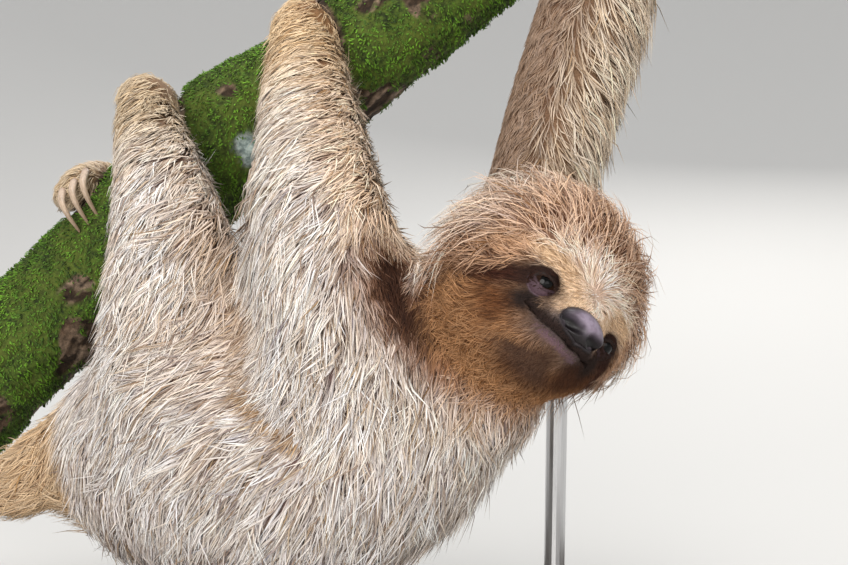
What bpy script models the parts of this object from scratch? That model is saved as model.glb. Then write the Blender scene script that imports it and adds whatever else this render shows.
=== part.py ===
"""Three-toed sloth, a life-size still model clinging to a short length of branch on a display stand.

Frame: metres, +Z up, origin at the centre of the stand base's underside. +X runs towards the head,
-Y is the side that faces the viewer, so the branch lies behind the body at +Y.
The flesh nodes are the outer shape of the coat. They are modelled as one body and parted by thin cuts.
"""

import math

import bmesh
import bpy
from mathutils import Matrix, Vector

# ---------------------------------------------------------------- driving dimensions
GAP = 0.0003            # clearance between touching pieces
CUT = 0.0006            # width of the thin cuts that part the body
LIMB_CUT = 0.45         # place of a limb's root cut, from shoulder or hip towards elbow or knee
BODY_VOXEL = 0.0060     # grid on which the body's balls are fused
SMOOTH_PASSES = 6       # rounds the creases between limb and trunk
BODY_FACES = 0.095      # share of the fused faces that the body keeps

# Stations of the body: centre and radius of the coat, in metres.
CHEST = (Vector((-0.005, -0.042, 0.156)), 0.066)
BELLY = (Vector((-0.052, -0.025, 0.136)), 0.072)
RUMP = (Vector((-0.104, 0.001, 0.133)), 0.064)
NECK = (Vector((0.032, -0.058, 0.196)), 0.045)
THROAT = (Vector((0.045, -0.066, 0.184)), 0.039)

LEFT_ARM = {
    "shoulder": (Vector((-0.012, -0.064, 0.196)), 0.043),
    "elbow": (Vector((-0.027, -0.046, 0.262)), 0.035),
    "wrist": (Vector((-0.0410, 0.037, 0.334)), 0.0240),
}
RIGHT_ARM = {
    "shoulder": (Vector((0.060, -0.008, 0.205)), 0.030),
    "elbow": (Vector((0.099, 0.008, 0.338)), 0.0325),
    "wrist": (Vector((0.127, 0.014, 0.414)), 0.0225),
}
LEFT_LEG = {
    "hip": (Vector((-0.094, -0.024, 0.172)), 0.049),
    "knee": (Vector((-0.103, -0.017, 0.246)), 0.0325),
    "ankle": (Vector((-0.1270, 0.046, 0.301)), 0.0215),
}
RIGHT_LEG = {
    "hip": (Vector((-0.101, 0.036, 0.150)), 0.044),
    "knee": (Vector((-0.148, 0.133, 0.192)), 0.028),
    "ankle": (Vector((-0.168, 0.138, 0.250)), 0.018),
}
TAIL_ROOT = (Vector((-0.156, 0.010, 0.131)), 0.027)
TAIL_TIP = (Vector((-0.201, 0.020, 0.104)), 0.0205)

ARM_PARTS = ("upper_arm", "forearm", "hand")
LEG_PARTS = ("thigh", "shank", "foot")

# Hands and feet hook over the branch: centre line and radius from wrist or ankle to the claw roots.
LEFT_HAND = [(Vector((-0.0440, 0.060, 0.3510)), 0.0175), (Vector((-0.0440, 0.083, 0.3580)), 0.0135),
             (Vector((-0.0420, 0.106, 0.3530)), 0.0115)]
RIGHT_HAND = [(Vector((0.132, 0.022, 0.444)), 0.0170), (Vector((0.131, 0.044, 0.4745)), 0.0150),
              (Vector((0.129, 0.069, 0.4800)), 0.0130)]
LEFT_FOOT = [(Vector((-0.1310, 0.068, 0.311)), 0.0175), (Vector((-0.1330, 0.091, 0.3060)), 0.0150),
             (Vector((-0.1330, 0.112, 0.2960)), 0.0115)]
RIGHT_FOOT = [(Vector((-0.1715, 0.118, 0.2620)), 0.0160), (Vector((-0.1755, 0.095, 0.2605)), 0.0150),
              (Vector((-0.1765, 0.077, 0.2600)), 0.0135)]

# Claws: three to a foot, slender tapering hooks.
CLAW_ROOT_RADIUS = 0.0025
CLAW_TIP_RADIUS = 0.0008
CLAW_SPACING = 0.0082
TOE_SPACING = 0.0060
CLAW_SEAT = 0.007       # length of claw hidden in the toe
CLAW_SIDES = 6
CLAW_STEPS = 6

# Head: its own axes are the animal's right, forward and up, turned towards the viewer and rolled.
HEAD_CENTRE = Vector((0.0739, -0.0925, 0.2260))
HEAD_FORWARD = Vector((0.500, -0.858, 0.121)).normalized()
HEAD_UP = Vector((0.567, 0.429, 0.703))
HEAD_RADII = Vector((0.0500, 0.0360, 0.0490))    # half width, depth to the face, half height
HEAD_RING_DRAW = 1.35                            # above 1 puts more of the rings on the face
HEAD_BACK = 0.046                                # depth from the centre to the back of the crown
MUZZLE_TIP = Vector((0.0, 0.0475, -0.0200))
MUZZLE_LIFT = 0.0125
MUZZLE_SPREAD = 0.37
CHIN = Vector((0.0, 0.034, -0.036))
CHIN_LIFT, CHIN_SPREAD = 0.0045, 0.30
EYE_PLACE = Vector((0.0190, 0.0281, -0.0109))
EYE_RADIUS = 0.0058
EYE_HOLLOW = 0.0030
EYE_HOLLOW_SPREAD = 0.24
NOSE_CENTRE = Vector((0.0, 0.0412, -0.0184))
NOSE_RADII = Vector((0.0104, 0.0066, 0.0068))

# Branch: centre line and radius, from the thick lower end to the upper end.
BRANCH_STATIONS = [
    (Vector((-0.288, 0.103, 0.100)), 0.0355), (Vector((-0.233, 0.099, 0.152)), 0.0355),
    (Vector((-0.169, 0.094, 0.211)), 0.0350), (Vector((-0.116, 0.091, 0.266)), 0.0342),
    (Vector((-0.086, 0.088, 0.292)), 0.0338), (Vector((-0.046, 0.083, 0.3145)), 0.0330),
    (Vector((-0.002, 0.077, 0.349)), 0.0332), (Vector((0.063, 0.068, 0.399)), 0.0320),
    (Vector((0.136, 0.057, 0.446)), 0.0310), (Vector((0.184, 0.049, 0.478)), 0.0300),
]
BRANCH_RUN = Vector((0.75, -0.05, 0.66))    # the way the branch runs, lower end to upper
BRANCH_SIDES = 16
BRANCH_RINGS_PER_SPAN = 2
BRANCH_LUMP = 0.0016

# Stand.
BASE_LENGTH, BASE_DEPTH, BASE_THICKNESS = 0.420, 0.250, 0.018
BASE_CORNER = 0.040
ROD_RADIUS = 0.006
ROD_SIDES = 16
ROD_SEAT = 0.010        # length of rod held in the base
ROD_GRIP = 0.018        # length of rod held in the branch, above its underside
LEFT_ROD_X, RIGHT_ROD_X = -0.050, 0.098
COLLAR_RADIUS, COLLAR_HEIGHT = 0.015, 0.008


# ---------------------------------------------------------------- helpers
def clear_scene():
    for old in list(bpy.data.objects):
        bpy.data.objects.remove(old, do_unlink=True)


def material(name, colour, roughness, metallic=0.0):
    made = bpy.data.materials.new(name)
    made.use_nodes = True
    shader = made.node_tree.nodes["Principled BSDF"]
    shader.inputs["Base Color"].default_value = (*colour, 1.0)
    shader.inputs["Roughness"].default_value = roughness
    shader.inputs["Metallic"].default_value = metallic
    return made


def add_object(name, mesh, finish):
    """Links a mesh as one named, smooth-shaded object."""
    mesh.name = name
    mesh.materials.clear()
    mesh.materials.append(finish)
    mesh.shade_smooth()
    mesh.set_sharp_from_angle(angle=math.radians(50))
    made = bpy.data.objects.new(name, mesh)
    bpy.context.scene.collection.objects.link(made)
    return made


def mesh_from(bm):
    """Ends a bmesh. Its faces become triangles, so that every copy of a bent face folds the same way."""
    bmesh.ops.triangulate(bm, faces=bm.faces)
    mesh = bpy.data.meshes.new("shape")
    bm.to_mesh(mesh)
    bm.free()
    return mesh


def smooth_path(stations, steps):
    """Centre and radius at even steps along a Catmull-Rom curve through the stations."""
    first, last = stations[0], stations[-1]
    padded = [
        (first[0] * 2 - stations[1][0], first[1]),
        *stations,
        (last[0] * 2 - stations[-2][0], last[1]),
    ]
    path = []
    for i in range(1, len(padded) - 2):
        for k in range(steps):
            path.append(spline_point(padded[i - 1:i + 3], k / steps))
    path.append(last)
    return path


def spline_point(four, t):
    def blend(a, b, c, d):
        return 0.5 * (b * 2 + (c - a) * t + (a * 2 - b * 5 + c * 4 - d) * t * t
                      + (b * 3 - a - c * 3 + d) * t ** 3)

    return blend(*[s[0] for s in four]), blend(*[s[1] for s in four])


def add_ball(bm, centre, radius):
    bmesh.ops.create_icosphere(bm, subdivisions=3, radius=radius, matrix=Matrix.Translation(centre))


def add_limb(bm, stations, steps=7):
    """A fleshy limb: overlapping balls along a smooth centre line, fused later by the remesh."""
    for centre, radius in smooth_path(stations, steps):
        add_ball(bm, centre, radius)


def add_tube(bm, path, sides, swell=lambda angle, share: 0.0):
    """Rings along the path, bridged and capped. swell adds to the radius round and along the tube."""
    side = Vector((0, 1, 0))
    rings = []
    for i, (centre, radius) in enumerate(path):
        ahead = path[min(i + 1, len(path) - 1)][0] - path[max(i - 1, 0)][0]
        ahead.normalize()
        side = (side - ahead * side.dot(ahead)).normalized()
        top = ahead.cross(side)
        ring = []
        for k in range(sides):
            angle = 2 * math.pi * k / sides
            reach = radius + swell(angle, i / (len(path) - 1))
            ring.append(bm.verts.new(centre + (side * math.cos(angle) + top * math.sin(angle)) * reach))
        rings.append(ring)
    for low, high in zip(rings, rings[1:]):
        for k in range(sides):
            n = (k + 1) % sides
            bm.faces.new((low[k], low[n], high[n], high[k]))
    bm.faces.new(list(reversed(rings[0])))
    bm.faces.new(rings[-1])
    bmesh.ops.recalc_face_normals(bm, faces=bm.faces)


def evaluated_mesh(obj):
    """The object's mesh with its modifiers applied."""
    bpy.context.view_layer.update()
    return bpy.data.meshes.new_from_object(obj.evaluated_get(bpy.context.evaluated_depsgraph_get()))


def scratch_object(mesh):
    made = bpy.data.objects.new("scratch", mesh)
    made.hide_render = True
    made.display_type = "WIRE"
    bpy.context.scene.collection.objects.link(made)
    return made


def cut_away(mesh, *cutters, keep="DIFFERENCE"):
    """mesh with each cutter mesh taken from it in turn, or with only what lies inside them kept."""
    body = scratch_object(mesh)
    tools = [scratch_object(c) for c in cutters]
    for tool in tools:
        cut = body.modifiers.new("cut", "BOOLEAN")
        cut.operation = keep
        cut.solver = "EXACT"
        cut.object = tool
    result = evaluated_mesh(body)
    for used in (body, *tools):
        bpy.data.objects.remove(used)
    return result


def main_shell(mesh):
    """The largest closed shell of a mesh, in triangles. Slivers that a cut left over are dropped."""
    bm = bmesh.new()
    bm.from_mesh(mesh)
    left = set(bm.verts)
    shells = []
    while left:
        edge = [left.pop()]
        shell = set(edge)
        while edge:
            at = edge.pop()
            for near in [e.other_vert(at) for e in at.link_edges]:
                if near in left:
                    left.discard(near)
                    shell.add(near)
                    edge.append(near)
        shells.append(shell)
    largest = max(shells, key=len)
    bmesh.ops.delete(bm, geom=[v for s in shells if s is not largest for v in s], context="VERTS")
    return mesh_from(bm)


# ---------------------------------------------------------------- branch
def branch_path():
    return smooth_path(BRANCH_STATIONS, BRANCH_RINGS_PER_SPAN)


def branch_swell(angle, share):
    """Slow lumps of bark and moss round and along the branch."""
    return BRANCH_LUMP * (math.sin(2 * angle + 9 * share) + 0.6 * math.sin(3 * angle - 23 * share))


def branch_mesh(grow=0.0):
    bm = bmesh.new()
    path = [(c, r + grow) for c, r in branch_path()]
    add_tube(bm, path, BRANCH_SIDES, branch_swell)
    return mesh_from(bm)


def branch_point(x):
    """Centre and radius of the branch where it passes over x."""
    return min(smooth_path(BRANCH_STATIONS, 40), key=lambda s: abs(s[0].x - x))


# ---------------------------------------------------------------- stand
def rod_mesh(x, grow=0.0):
    centre, radius = branch_point(x)
    low = BASE_THICKNESS - ROD_SEAT - grow
    high = centre.z - radius + ROD_GRIP + grow
    bm = bmesh.new()
    bmesh.ops.create_cone(
        bm, cap_ends=True, segments=ROD_SIDES, radius1=ROD_RADIUS + grow, radius2=ROD_RADIUS + grow,
        depth=high - low, matrix=Matrix.Translation((x, centre.y, (low + high) / 2)),
    )
    return mesh_from(bm)


def collar_mesh(x):
    """A ring that covers the rod's socket in the base."""
    centre, _ = branch_point(x)
    bm = bmesh.new()
    inner, outer = ROD_RADIUS + GAP, COLLAR_RADIUS
    low, high = BASE_THICKNESS + GAP, BASE_THICKNESS + GAP + COLLAR_HEIGHT
    chamfer = COLLAR_HEIGHT * 0.35
    profile = [(inner, low), (outer, low), (outer, high - chamfer), (outer - chamfer, high), (inner, high)]
    ring = [bm.verts.new((x + r, centre.y, z)) for r, z in profile]
    loop = [bm.edges.new((a, b)) for a, b in zip(ring, ring[1:] + ring[:1])]
    bmesh.ops.spin(
        bm, geom=ring + loop, cent=(x, centre.y, 0), axis=(0, 0, 1), angle=2 * math.pi,
        steps=ROD_SIDES, use_merge=True,
    )
    bmesh.ops.remove_doubles(bm, verts=bm.verts, dist=1e-6)
    bmesh.ops.recalc_face_normals(bm, faces=bm.faces)
    return mesh_from(bm)


def base_mesh():
    bm = bmesh.new()
    bmesh.ops.create_cube(bm, size=1.0)
    bmesh.ops.scale(bm, verts=bm.verts, vec=(BASE_LENGTH, BASE_DEPTH, BASE_THICKNESS))
    bmesh.ops.translate(bm, verts=bm.verts, vec=(0, 0, BASE_THICKNESS / 2))
    uprights = [e for e in bm.edges if abs(e.verts[0].co.z - e.verts[1].co.z) > BASE_THICKNESS / 2]
    bmesh.ops.bevel(bm, geom=uprights, offset=BASE_CORNER, segments=4, profile=0.5, affect="EDGES",
                    material=-1)
    rim = [e for e in bm.edges if min(v.co.z for v in e.verts) > BASE_THICKNESS - 1e-6]
    bmesh.ops.bevel(bm, geom=rim, offset=0.004, segments=1, profile=0.5, affect="EDGES", material=-1)
    return mesh_from(bm)


def build_stand(steel, lacquer):
    rods = {"left": LEFT_ROD_X, "right": RIGHT_ROD_X}
    sockets = [rod_mesh(x, GAP) for x in rods.values()]
    add_object("stand_base", cut_away(base_mesh(), *sockets), lacquer)
    for side, x in rods.items():
        add_object(f"stand_rod_{side}", rod_mesh(x), steel)
        add_object(f"stand_collar_{side}", collar_mesh(x), steel)


# ---------------------------------------------------------------- claws
def claw_path(root, tip, bow):
    """A hook from root to tip that bows outwards along bow, narrowing to its point."""
    path = []
    for k in range(CLAW_STEPS + 1):
        t = k / CLAW_STEPS
        centre = root.lerp(tip, t) + bow * math.sin(math.pi * t ** 0.85)
        radius = CLAW_ROOT_RADIUS + (CLAW_TIP_RADIUS - CLAW_ROOT_RADIUS) * t ** 1.4
        path.append((centre, radius))
    back = (path[0][0] - path[1][0]).normalized()
    path.insert(0, (path[0][0] + back * CLAW_SEAT, CLAW_ROOT_RADIUS))
    return path


# Each foot's middle claw: root, tip and outward bow. The other two stand beside it along "across".
CLAWS = {
    "right_foot": dict(root=Vector((-0.1745, 0.0665, 0.2630)), tip=Vector((-0.1640, 0.0588, 0.2415)),
                       bow=Vector((-0.0020, -0.0045, 0.0020)), across=Vector((0.78, 0.0, 0.62))),
    "left_foot": dict(root=Vector((-0.1325, 0.1200, 0.2930)), tip=Vector((-0.1260, 0.1330, 0.2500)),
                      bow=Vector((0.0, 0.0080, 0.0040)), across=Vector((0.88, 0.0, 0.48))),
    "left_hand": dict(root=Vector((-0.0415, 0.1130, 0.3490)), tip=Vector((-0.0335, 0.1210, 0.2990)),
                      bow=Vector((0.0, 0.0105, 0.0045)), across=Vector((0.88, 0.0, 0.48))),
    "right_hand": dict(root=Vector((0.1285, 0.0775, 0.4780)), tip=Vector((0.1370, 0.0960, 0.4300)),
                       bow=Vector((0.0, 0.0100, 0.0050)), across=Vector((0.88, -0.05, 0.47))),
}


def claw_mesh(foot, number, grow=0.0):
    place = CLAWS[foot]
    across = place["across"].normalized() * CLAW_SPACING * (number - 2)
    root, tip = place["root"] + across, place["tip"] + across * 0.82
    bm = bmesh.new()
    add_tube(bm, [(c, r + grow) for c, r in claw_path(root, tip, place["bow"])], CLAW_SIDES)
    return mesh_from(bm)


# ---------------------------------------------------------------- head
def head_matrix():
    """Columns are the animal's right, forward and up."""
    forward = HEAD_FORWARD
    right = forward.cross(HEAD_UP).normalized()
    turn = Matrix((right, forward, right.cross(forward))).transposed().to_4x4()
    return Matrix.Translation(HEAD_CENTRE) @ turn


def near_direction(unit, aim, spread):
    """1 along aim, fading to 0 over the angle spread."""
    return math.exp(-(unit.angle(aim) / spread) ** 3)


def head_reach(unit):
    """Distance from the head's centre to the coat's surface, along a unit direction."""
    depth = HEAD_RADII.y if unit.y > 0 else HEAD_BACK
    reach = 1 / math.hypot(unit.x / HEAD_RADII.x, unit.y / depth, unit.z / HEAD_RADII.z)
    reach += MUZZLE_LIFT * near_direction(unit, MUZZLE_TIP, MUZZLE_SPREAD)
    reach += CHIN_LIFT * near_direction(unit, CHIN, CHIN_SPREAD)
    for side in (-1, 1):
        eye = Vector((EYE_PLACE.x * side, EYE_PLACE.y, EYE_PLACE.z))
        reach -= EYE_HOLLOW * near_direction(unit, eye, EYE_HOLLOW_SPREAD)
    return reach


def head_mesh(grow=0.0):
    """A ball whose rings close round the forward axis, drawn together towards the face."""
    bm = bmesh.new()
    bmesh.ops.create_uvsphere(bm, u_segments=20, v_segments=15, radius=1.0)
    for v in bm.verts:
        from_face = math.pi * (v.co.angle(Vector((0, 0, 1))) / math.pi) ** HEAD_RING_DRAW
        flat = Vector((v.co.x, v.co.y)).normalized() if from_face > 1e-4 else Vector((0, 0))
        unit = Vector((flat.x * math.sin(from_face), math.cos(from_face), -flat.y * math.sin(from_face)))
        v.co = unit * (head_reach(unit) + grow)
    bmesh.ops.transform(bm, verts=bm.verts, matrix=head_matrix())
    return mesh_from(bm)


def eye_mesh(side, grow=0.0):
    bm = bmesh.new()
    bmesh.ops.create_uvsphere(
        bm, u_segments=12, v_segments=7, radius=EYE_RADIUS + grow,
        matrix=head_matrix() @ Matrix.Translation((EYE_PLACE.x * side, EYE_PLACE.y, EYE_PLACE.z)),
    )
    return mesh_from(bm)


def nose_mesh(grow=0.0):
    radii = [r + grow for r in NOSE_RADII]
    bm = bmesh.new()
    bmesh.ops.create_uvsphere(
        bm, u_segments=14, v_segments=7, radius=1.0,
        matrix=head_matrix() @ Matrix.Translation(NOSE_CENTRE) @ Matrix.Diagonal((*radii, 1.0)),
    )
    return mesh_from(bm)


# ---------------------------------------------------------------- body
def fused_body():
    """Trunk, neck, tail and the four limbs as one smooth skin."""
    bm = bmesh.new()
    add_limb(bm, [RUMP, BELLY, CHEST, NECK], steps=6)
    add_ball(bm, *THROAT)
    add_limb(bm, [TAIL_ROOT, TAIL_TIP], steps=6)
    add_limb(bm, [RUMP, TAIL_ROOT], steps=4)
    for chest_end, limb, paw in (
        (CHEST, LEFT_ARM, LEFT_HAND), (CHEST, RIGHT_ARM, RIGHT_HAND),
        (RUMP, LEFT_LEG, LEFT_FOOT), (RUMP, RIGHT_LEG, RIGHT_FOOT),
    ):
        add_limb(bm, [*limb.values(), *paw])
        for centre, radius in paw[1:]:
            for side in (-1, 1):
                add_ball(bm, centre + BRANCH_RUN * TOE_SPACING * side, radius)
    lump = scratch_object(mesh_from(bm))
    fuse = lump.modifiers.new("fuse", "REMESH")
    fuse.mode = "VOXEL"
    fuse.voxel_size = BODY_VOXEL
    soften = lump.modifiers.new("soften", "SMOOTH")
    soften.factor = 0.5
    soften.iterations = SMOOTH_PASSES
    thin = lump.modifiers.new("thin", "DECIMATE")
    thin.ratio = BODY_FACES
    result = evaluated_mesh(lump)
    bpy.data.objects.remove(lump)
    return result


def half_space(point, normal):
    """A large box on the side of the plane that normal points to, and half a cut's width short of it."""
    size = 0.8
    bm = bmesh.new()
    turn = normal.to_track_quat("Z", "Y").to_matrix().to_4x4()
    bmesh.ops.create_cube(bm, size=size, matrix=Matrix.Translation(point) @ turn)
    bmesh.ops.translate(bm, verts=bm.verts, vec=normal.normalized() * (size - CUT) / 2)
    return mesh_from(bm)


def split(mesh, point, normal):
    """The two sides of a thin plane cut: the piece beyond the plane and the piece before it."""
    beyond = cut_away(mesh.copy(), half_space(point, -normal))
    before = cut_away(mesh, half_space(point, normal))
    return main_shell(beyond), main_shell(before)


def limb_cell(limb, paw, grow=0.0):
    """A wide sleeve round a whole limb that starts at the cut through its root."""
    (root, root_r), (mid, mid_r), (end, end_r) = limb.values()
    start = root.lerp(mid, LIMB_CUT)
    stations = [(start, root_r * 1.15), (mid, mid_r * 1.4), (end, end_r * 1.9)]
    stations += [(centre, radius * 2.6) for centre, radius in paw]
    ahead = (paw[-1][0] - paw[-2][0]).normalized()
    stations.append((paw[-1][0] + ahead * 0.03, paw[-1][1] * 2.6))
    path = [(c, r + grow) for c, r in smooth_path(stations, 4)]
    path[0] = (path[0][0] - (mid - root).normalized() * grow, path[0][1])
    bm = bmesh.new()
    add_tube(bm, path, 24)
    return mesh_from(bm)


def part_limb(body, name, names, limb, paw):
    """Takes one limb off the body. Returns the rest and the limb's three pieces by name."""
    (_, _), (mid, _), (end, _) = limb.values()
    root = limb[list(limb)[0]][0]
    whole = main_shell(cut_away(body.copy(), limb_cell(limb, paw), keep="INTERSECT"))
    rest = main_shell(cut_away(body, limb_cell(limb, paw, CUT)))
    lower, upper = split(whole, mid, end - root)
    tip, lower = split(lower, end.lerp(paw[0][0], 0.35), paw[0][0] - mid)
    return rest, {f"{name}_{part}": mesh for part, mesh in zip(names, (upper, lower, tip))}


def part_body(body):
    """Every flesh piece behind the head, by name."""
    parts = {}
    for name, names, limb, paw in (
        ("left", ARM_PARTS, LEFT_ARM, LEFT_HAND), ("right", ARM_PARTS, RIGHT_ARM, RIGHT_HAND),
        ("left", LEG_PARTS, LEFT_LEG, LEFT_FOOT), ("right", LEG_PARTS, RIGHT_LEG, RIGHT_FOOT),
    ):
        body, pieces = part_limb(body, name, names, limb, paw)
        parts.update(pieces)
    parts["tail"], body = split(body, TAIL_ROOT[0], TAIL_TIP[0] - TAIL_ROOT[0])
    parts["neck"], parts["trunk"] = split(body, NECK[0].lerp(CHEST[0], 0.3), NECK[0] - CHEST[0])
    return parts


def build_animal(coat, horn, wet_eye, nose_skin):
    claws = {(foot, n): claw_mesh(foot, n) for foot in CLAWS for n in (1, 2, 3)}
    seats = [claw_mesh(foot, n, GAP) for foot, n in claws]
    body = cut_away(fused_body(), head_mesh(GAP), branch_mesh(GAP), *seats)
    for name, mesh in part_body(main_shell(body)).items():
        add_object(name, mesh, coat)
    head = cut_away(head_mesh(), eye_mesh(1, GAP), eye_mesh(-1, GAP), nose_mesh(GAP))
    add_object("head", head, coat)
    add_object("eye_right", eye_mesh(1), wet_eye)
    add_object("eye_left", eye_mesh(-1), wet_eye)
    add_object("nose", nose_mesh(), nose_skin)
    for (foot, n), mesh in claws.items():
        add_object(f"claw_{foot}_{n}", mesh, horn)


# ---------------------------------------------------------------- build
clear_scene()
build_animal(
    coat=material("coat", (0.55, 0.44, 0.34), 0.85),
    horn=material("claw_horn", (0.62, 0.53, 0.42), 0.45),
    wet_eye=material("eye", (0.02, 0.014, 0.012), 0.08),
    nose_skin=material("nose_skin", (0.07, 0.055, 0.065), 0.45),
)
rod_sockets = [rod_mesh(x, GAP) for x in (LEFT_ROD_X, RIGHT_ROD_X)]
add_object("perch_branch", cut_away(branch_mesh(), *rod_sockets), material("moss", (0.12, 0.17, 0.04), 0.95))
build_stand(steel=material("rod_steel", (0.55, 0.55, 0.56), 0.35, 1.0),
            lacquer=material("base_lacquer", (0.06, 0.05, 0.045), 0.4))
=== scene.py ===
"""Three-toed sloth on a cut branch: the finish of a life-size museum model, dressed over its solid frame."""

import math

import bmesh
import bpy
import numpy as np
from mathutils import Matrix, Vector, noise
from mathutils.bvhtree import BVHTree
from mathutils.kdtree import KDTree


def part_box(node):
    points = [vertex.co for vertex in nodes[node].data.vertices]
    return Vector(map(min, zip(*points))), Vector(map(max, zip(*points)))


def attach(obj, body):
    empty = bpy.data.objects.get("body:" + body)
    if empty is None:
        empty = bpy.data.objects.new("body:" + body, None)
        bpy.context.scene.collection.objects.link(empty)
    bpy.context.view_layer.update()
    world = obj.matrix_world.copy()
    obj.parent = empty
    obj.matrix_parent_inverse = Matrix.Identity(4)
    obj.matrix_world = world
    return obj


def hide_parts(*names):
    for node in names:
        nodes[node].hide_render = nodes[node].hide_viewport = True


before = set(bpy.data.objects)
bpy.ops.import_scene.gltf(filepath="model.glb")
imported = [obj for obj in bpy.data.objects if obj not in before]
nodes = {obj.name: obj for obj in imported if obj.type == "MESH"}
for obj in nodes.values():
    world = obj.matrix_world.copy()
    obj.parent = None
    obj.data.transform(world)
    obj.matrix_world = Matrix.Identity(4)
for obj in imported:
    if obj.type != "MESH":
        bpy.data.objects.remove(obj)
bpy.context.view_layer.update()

# ---------------------------------------------------------------------------------------------
# Room: a round pale studio floor that curves up into its wall, a camera at the animal's own
# height that looks slightly down, and soft boxes: a wide key in front to the left, a low fill
# in front to the right, one overhead and one behind.
VIEW_PLACE = Vector((0.022, -0.587, 0.300))
VIEW_PITCH, VIEW_WIDTH = 8.0, 40.0      # degrees
ROOM_RADIUS, ROOM_CURVE, ROOM_HEIGHT = 3.4, 2.7, 3.6
CURVE_STEPS, ROOM_SIDES = 24, 72
ROOM_TONE = (0.47, 0.465, 0.455)
ROOM_GLOW = 0.16
SKY_TONE, SKY_GLOW = (0.93, 0.96, 1.0), 0.55
AIM = Vector((0.0, 0.0, 0.24))
SOFT_BOXES = {
    "key": dict(place=(-0.42, -1.42, 0.72), size=1.15, power=24.0, tint=(1.0, 0.98, 0.95)),
    "fill": dict(place=(0.62, -1.38, 0.16), size=1.2, power=8.5, tint=(1.0, 0.98, 0.98)),
    "top": dict(place=(0.05, 0.05, 1.55), size=0.9, power=13.0, tint=(1.0, 0.99, 0.97)),
    "back": dict(place=(0.55, 1.25, 0.95), size=0.9, power=12.0, tint=(1.0, 0.98, 0.95)),
}


def new_object(name, mesh):
    made = bpy.data.objects.new(name, mesh)
    bpy.context.scene.collection.objects.link(made)
    return made


def new_material(name, roughness, **sockets):
    """An empty finish: its node tree and its shader, with the plain sockets set."""
    made = bpy.data.materials.new(name)
    made.use_nodes = True
    shader = made.node_tree.nodes["Principled BSDF"]
    shader.inputs["Roughness"].default_value = roughness
    for socket, value in sockets.items():
        shader.inputs[socket.replace("_", " ")].default_value = value
    return made, made.node_tree, shader


def mesh_of(bm, name):
    """Ends a bmesh as a mesh."""
    made = bpy.data.meshes.new(name)
    bm.to_mesh(made)
    bm.free()
    return made


camera_data = bpy.data.cameras.new("camera")
camera_data.angle = math.radians(VIEW_WIDTH)
camera = new_object("camera", camera_data)
camera.location = VIEW_PLACE
camera.rotation_euler = (math.radians(90.0 - VIEW_PITCH), 0.0, 0.0)
bpy.context.scene.camera = camera

for name, box_light in SOFT_BOXES.items():
    lamp = bpy.data.lights.new(name, "AREA")
    lamp.shape = "DISK"
    lamp.size = box_light["size"]
    lamp.energy = box_light["power"]
    lamp.color = box_light["tint"]
    lamp_object = new_object(name, lamp)
    lamp_object.location = box_light["place"]
    lamp_object.visible_camera = False
    lamp_object.rotation_euler = (AIM - lamp_object.location).to_track_quat("-Z", "Y").to_euler()

sky = bpy.data.worlds.new("sky")
sky.use_nodes = True
sky.node_tree.nodes["Background"].inputs["Color"].default_value = (*SKY_TONE, 1.0)
sky.node_tree.nodes["Background"].inputs["Strength"].default_value = SKY_GLOW
bpy.context.scene.world = sky
bpy.context.scene.view_settings.view_transform = "Standard"

room_bm = bmesh.new()
flat_radius = ROOM_RADIUS - ROOM_CURVE
section = [(0.0, 0.0, 0.0), (flat_radius, 0.0, 0.0)]
for step in range(1, CURVE_STEPS + 1):
    bend = math.radians(90.0) * step / CURVE_STEPS
    section.append((flat_radius + ROOM_CURVE * math.sin(bend), 0.0, ROOM_CURVE * (1 - math.cos(bend))))
section.append((ROOM_RADIUS, 0.0, ROOM_HEIGHT))
profile = [room_bm.verts.new(place) for place in section]
edges = [room_bm.edges.new(pair) for pair in zip(profile, profile[1:])]
bmesh.ops.spin(room_bm, geom=profile + edges, cent=(0, 0, 0), axis=(0, 0, 1), angle=2 * math.pi,
               steps=ROOM_SIDES, use_merge=True)
bmesh.ops.remove_doubles(room_bm, verts=room_bm.verts, dist=1e-5)
bmesh.ops.recalc_face_normals(room_bm, faces=room_bm.faces)
if min(room_bm.faces, key=lambda f: f.calc_center_median().z).normal.z < 0:
    bmesh.ops.reverse_faces(room_bm, faces=room_bm.faces)
room_mesh = mesh_of(room_bm, "room")
room_mesh.shade_smooth()
room = new_object("room", room_mesh)
room_finish, _, room_shader = new_material("pale_paper", 0.9)
room_shader.inputs["Base Color"].default_value = (*ROOM_TONE, 1.0)
room_shader.inputs["Emission Color"].default_value = (1.0, 0.99, 0.97, 1.0)
room_shader.inputs["Emission Strength"].default_value = ROOM_GLOW
room_mesh.materials.append(room_finish)

# ---------------------------------------------------------------------------------------------
# Hide: one skin under all the fur, from the nose to the tail and the four feet. It is cast from
# the outer form of the coat, drawn in by the coat's depth, so it has no joints or seams.
FLESH = ["head", "neck", "trunk", "tail"] + [
    f"{side}_{part}" for side in ("left", "right")
    for part in ("upper_arm", "forearm", "hand", "thigh", "shank", "foot")]
PAWS = [name for name in FLESH if name.endswith(("hand", "foot"))]
HIDE_GRAIN = 0.0032
HIDE_SWELL = 0.0006     # closes the thin joints between the solids
COAT_DEPTH = {"head": 0.0048, "hand": 0.0034, "foot": 0.0034, "tail": 0.0070, "forearm": 0.0070,
              "shank": 0.0070, "neck": 0.0080, "trunk": 0.0085, "upper_arm": 0.0080, "thigh": 0.0080}
PALM_REACH = 0.007      # nearer the branch than this, the hide is bare and keeps its place
CLAW_PLUG = 0.010       # length of claw that fills its own seat while the hide is cast
EYE_BALL = 0.0058
FEATURES = {"eye_left": EYE_BALL, "eye_right": EYE_BALL, "nose": 0.009}     # the radius of each
CLAWS = {f"claw_{paw}_{number}": paw for paw in PAWS for number in (1, 2, 3)}
SHRINK_STEPS = 3


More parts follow.
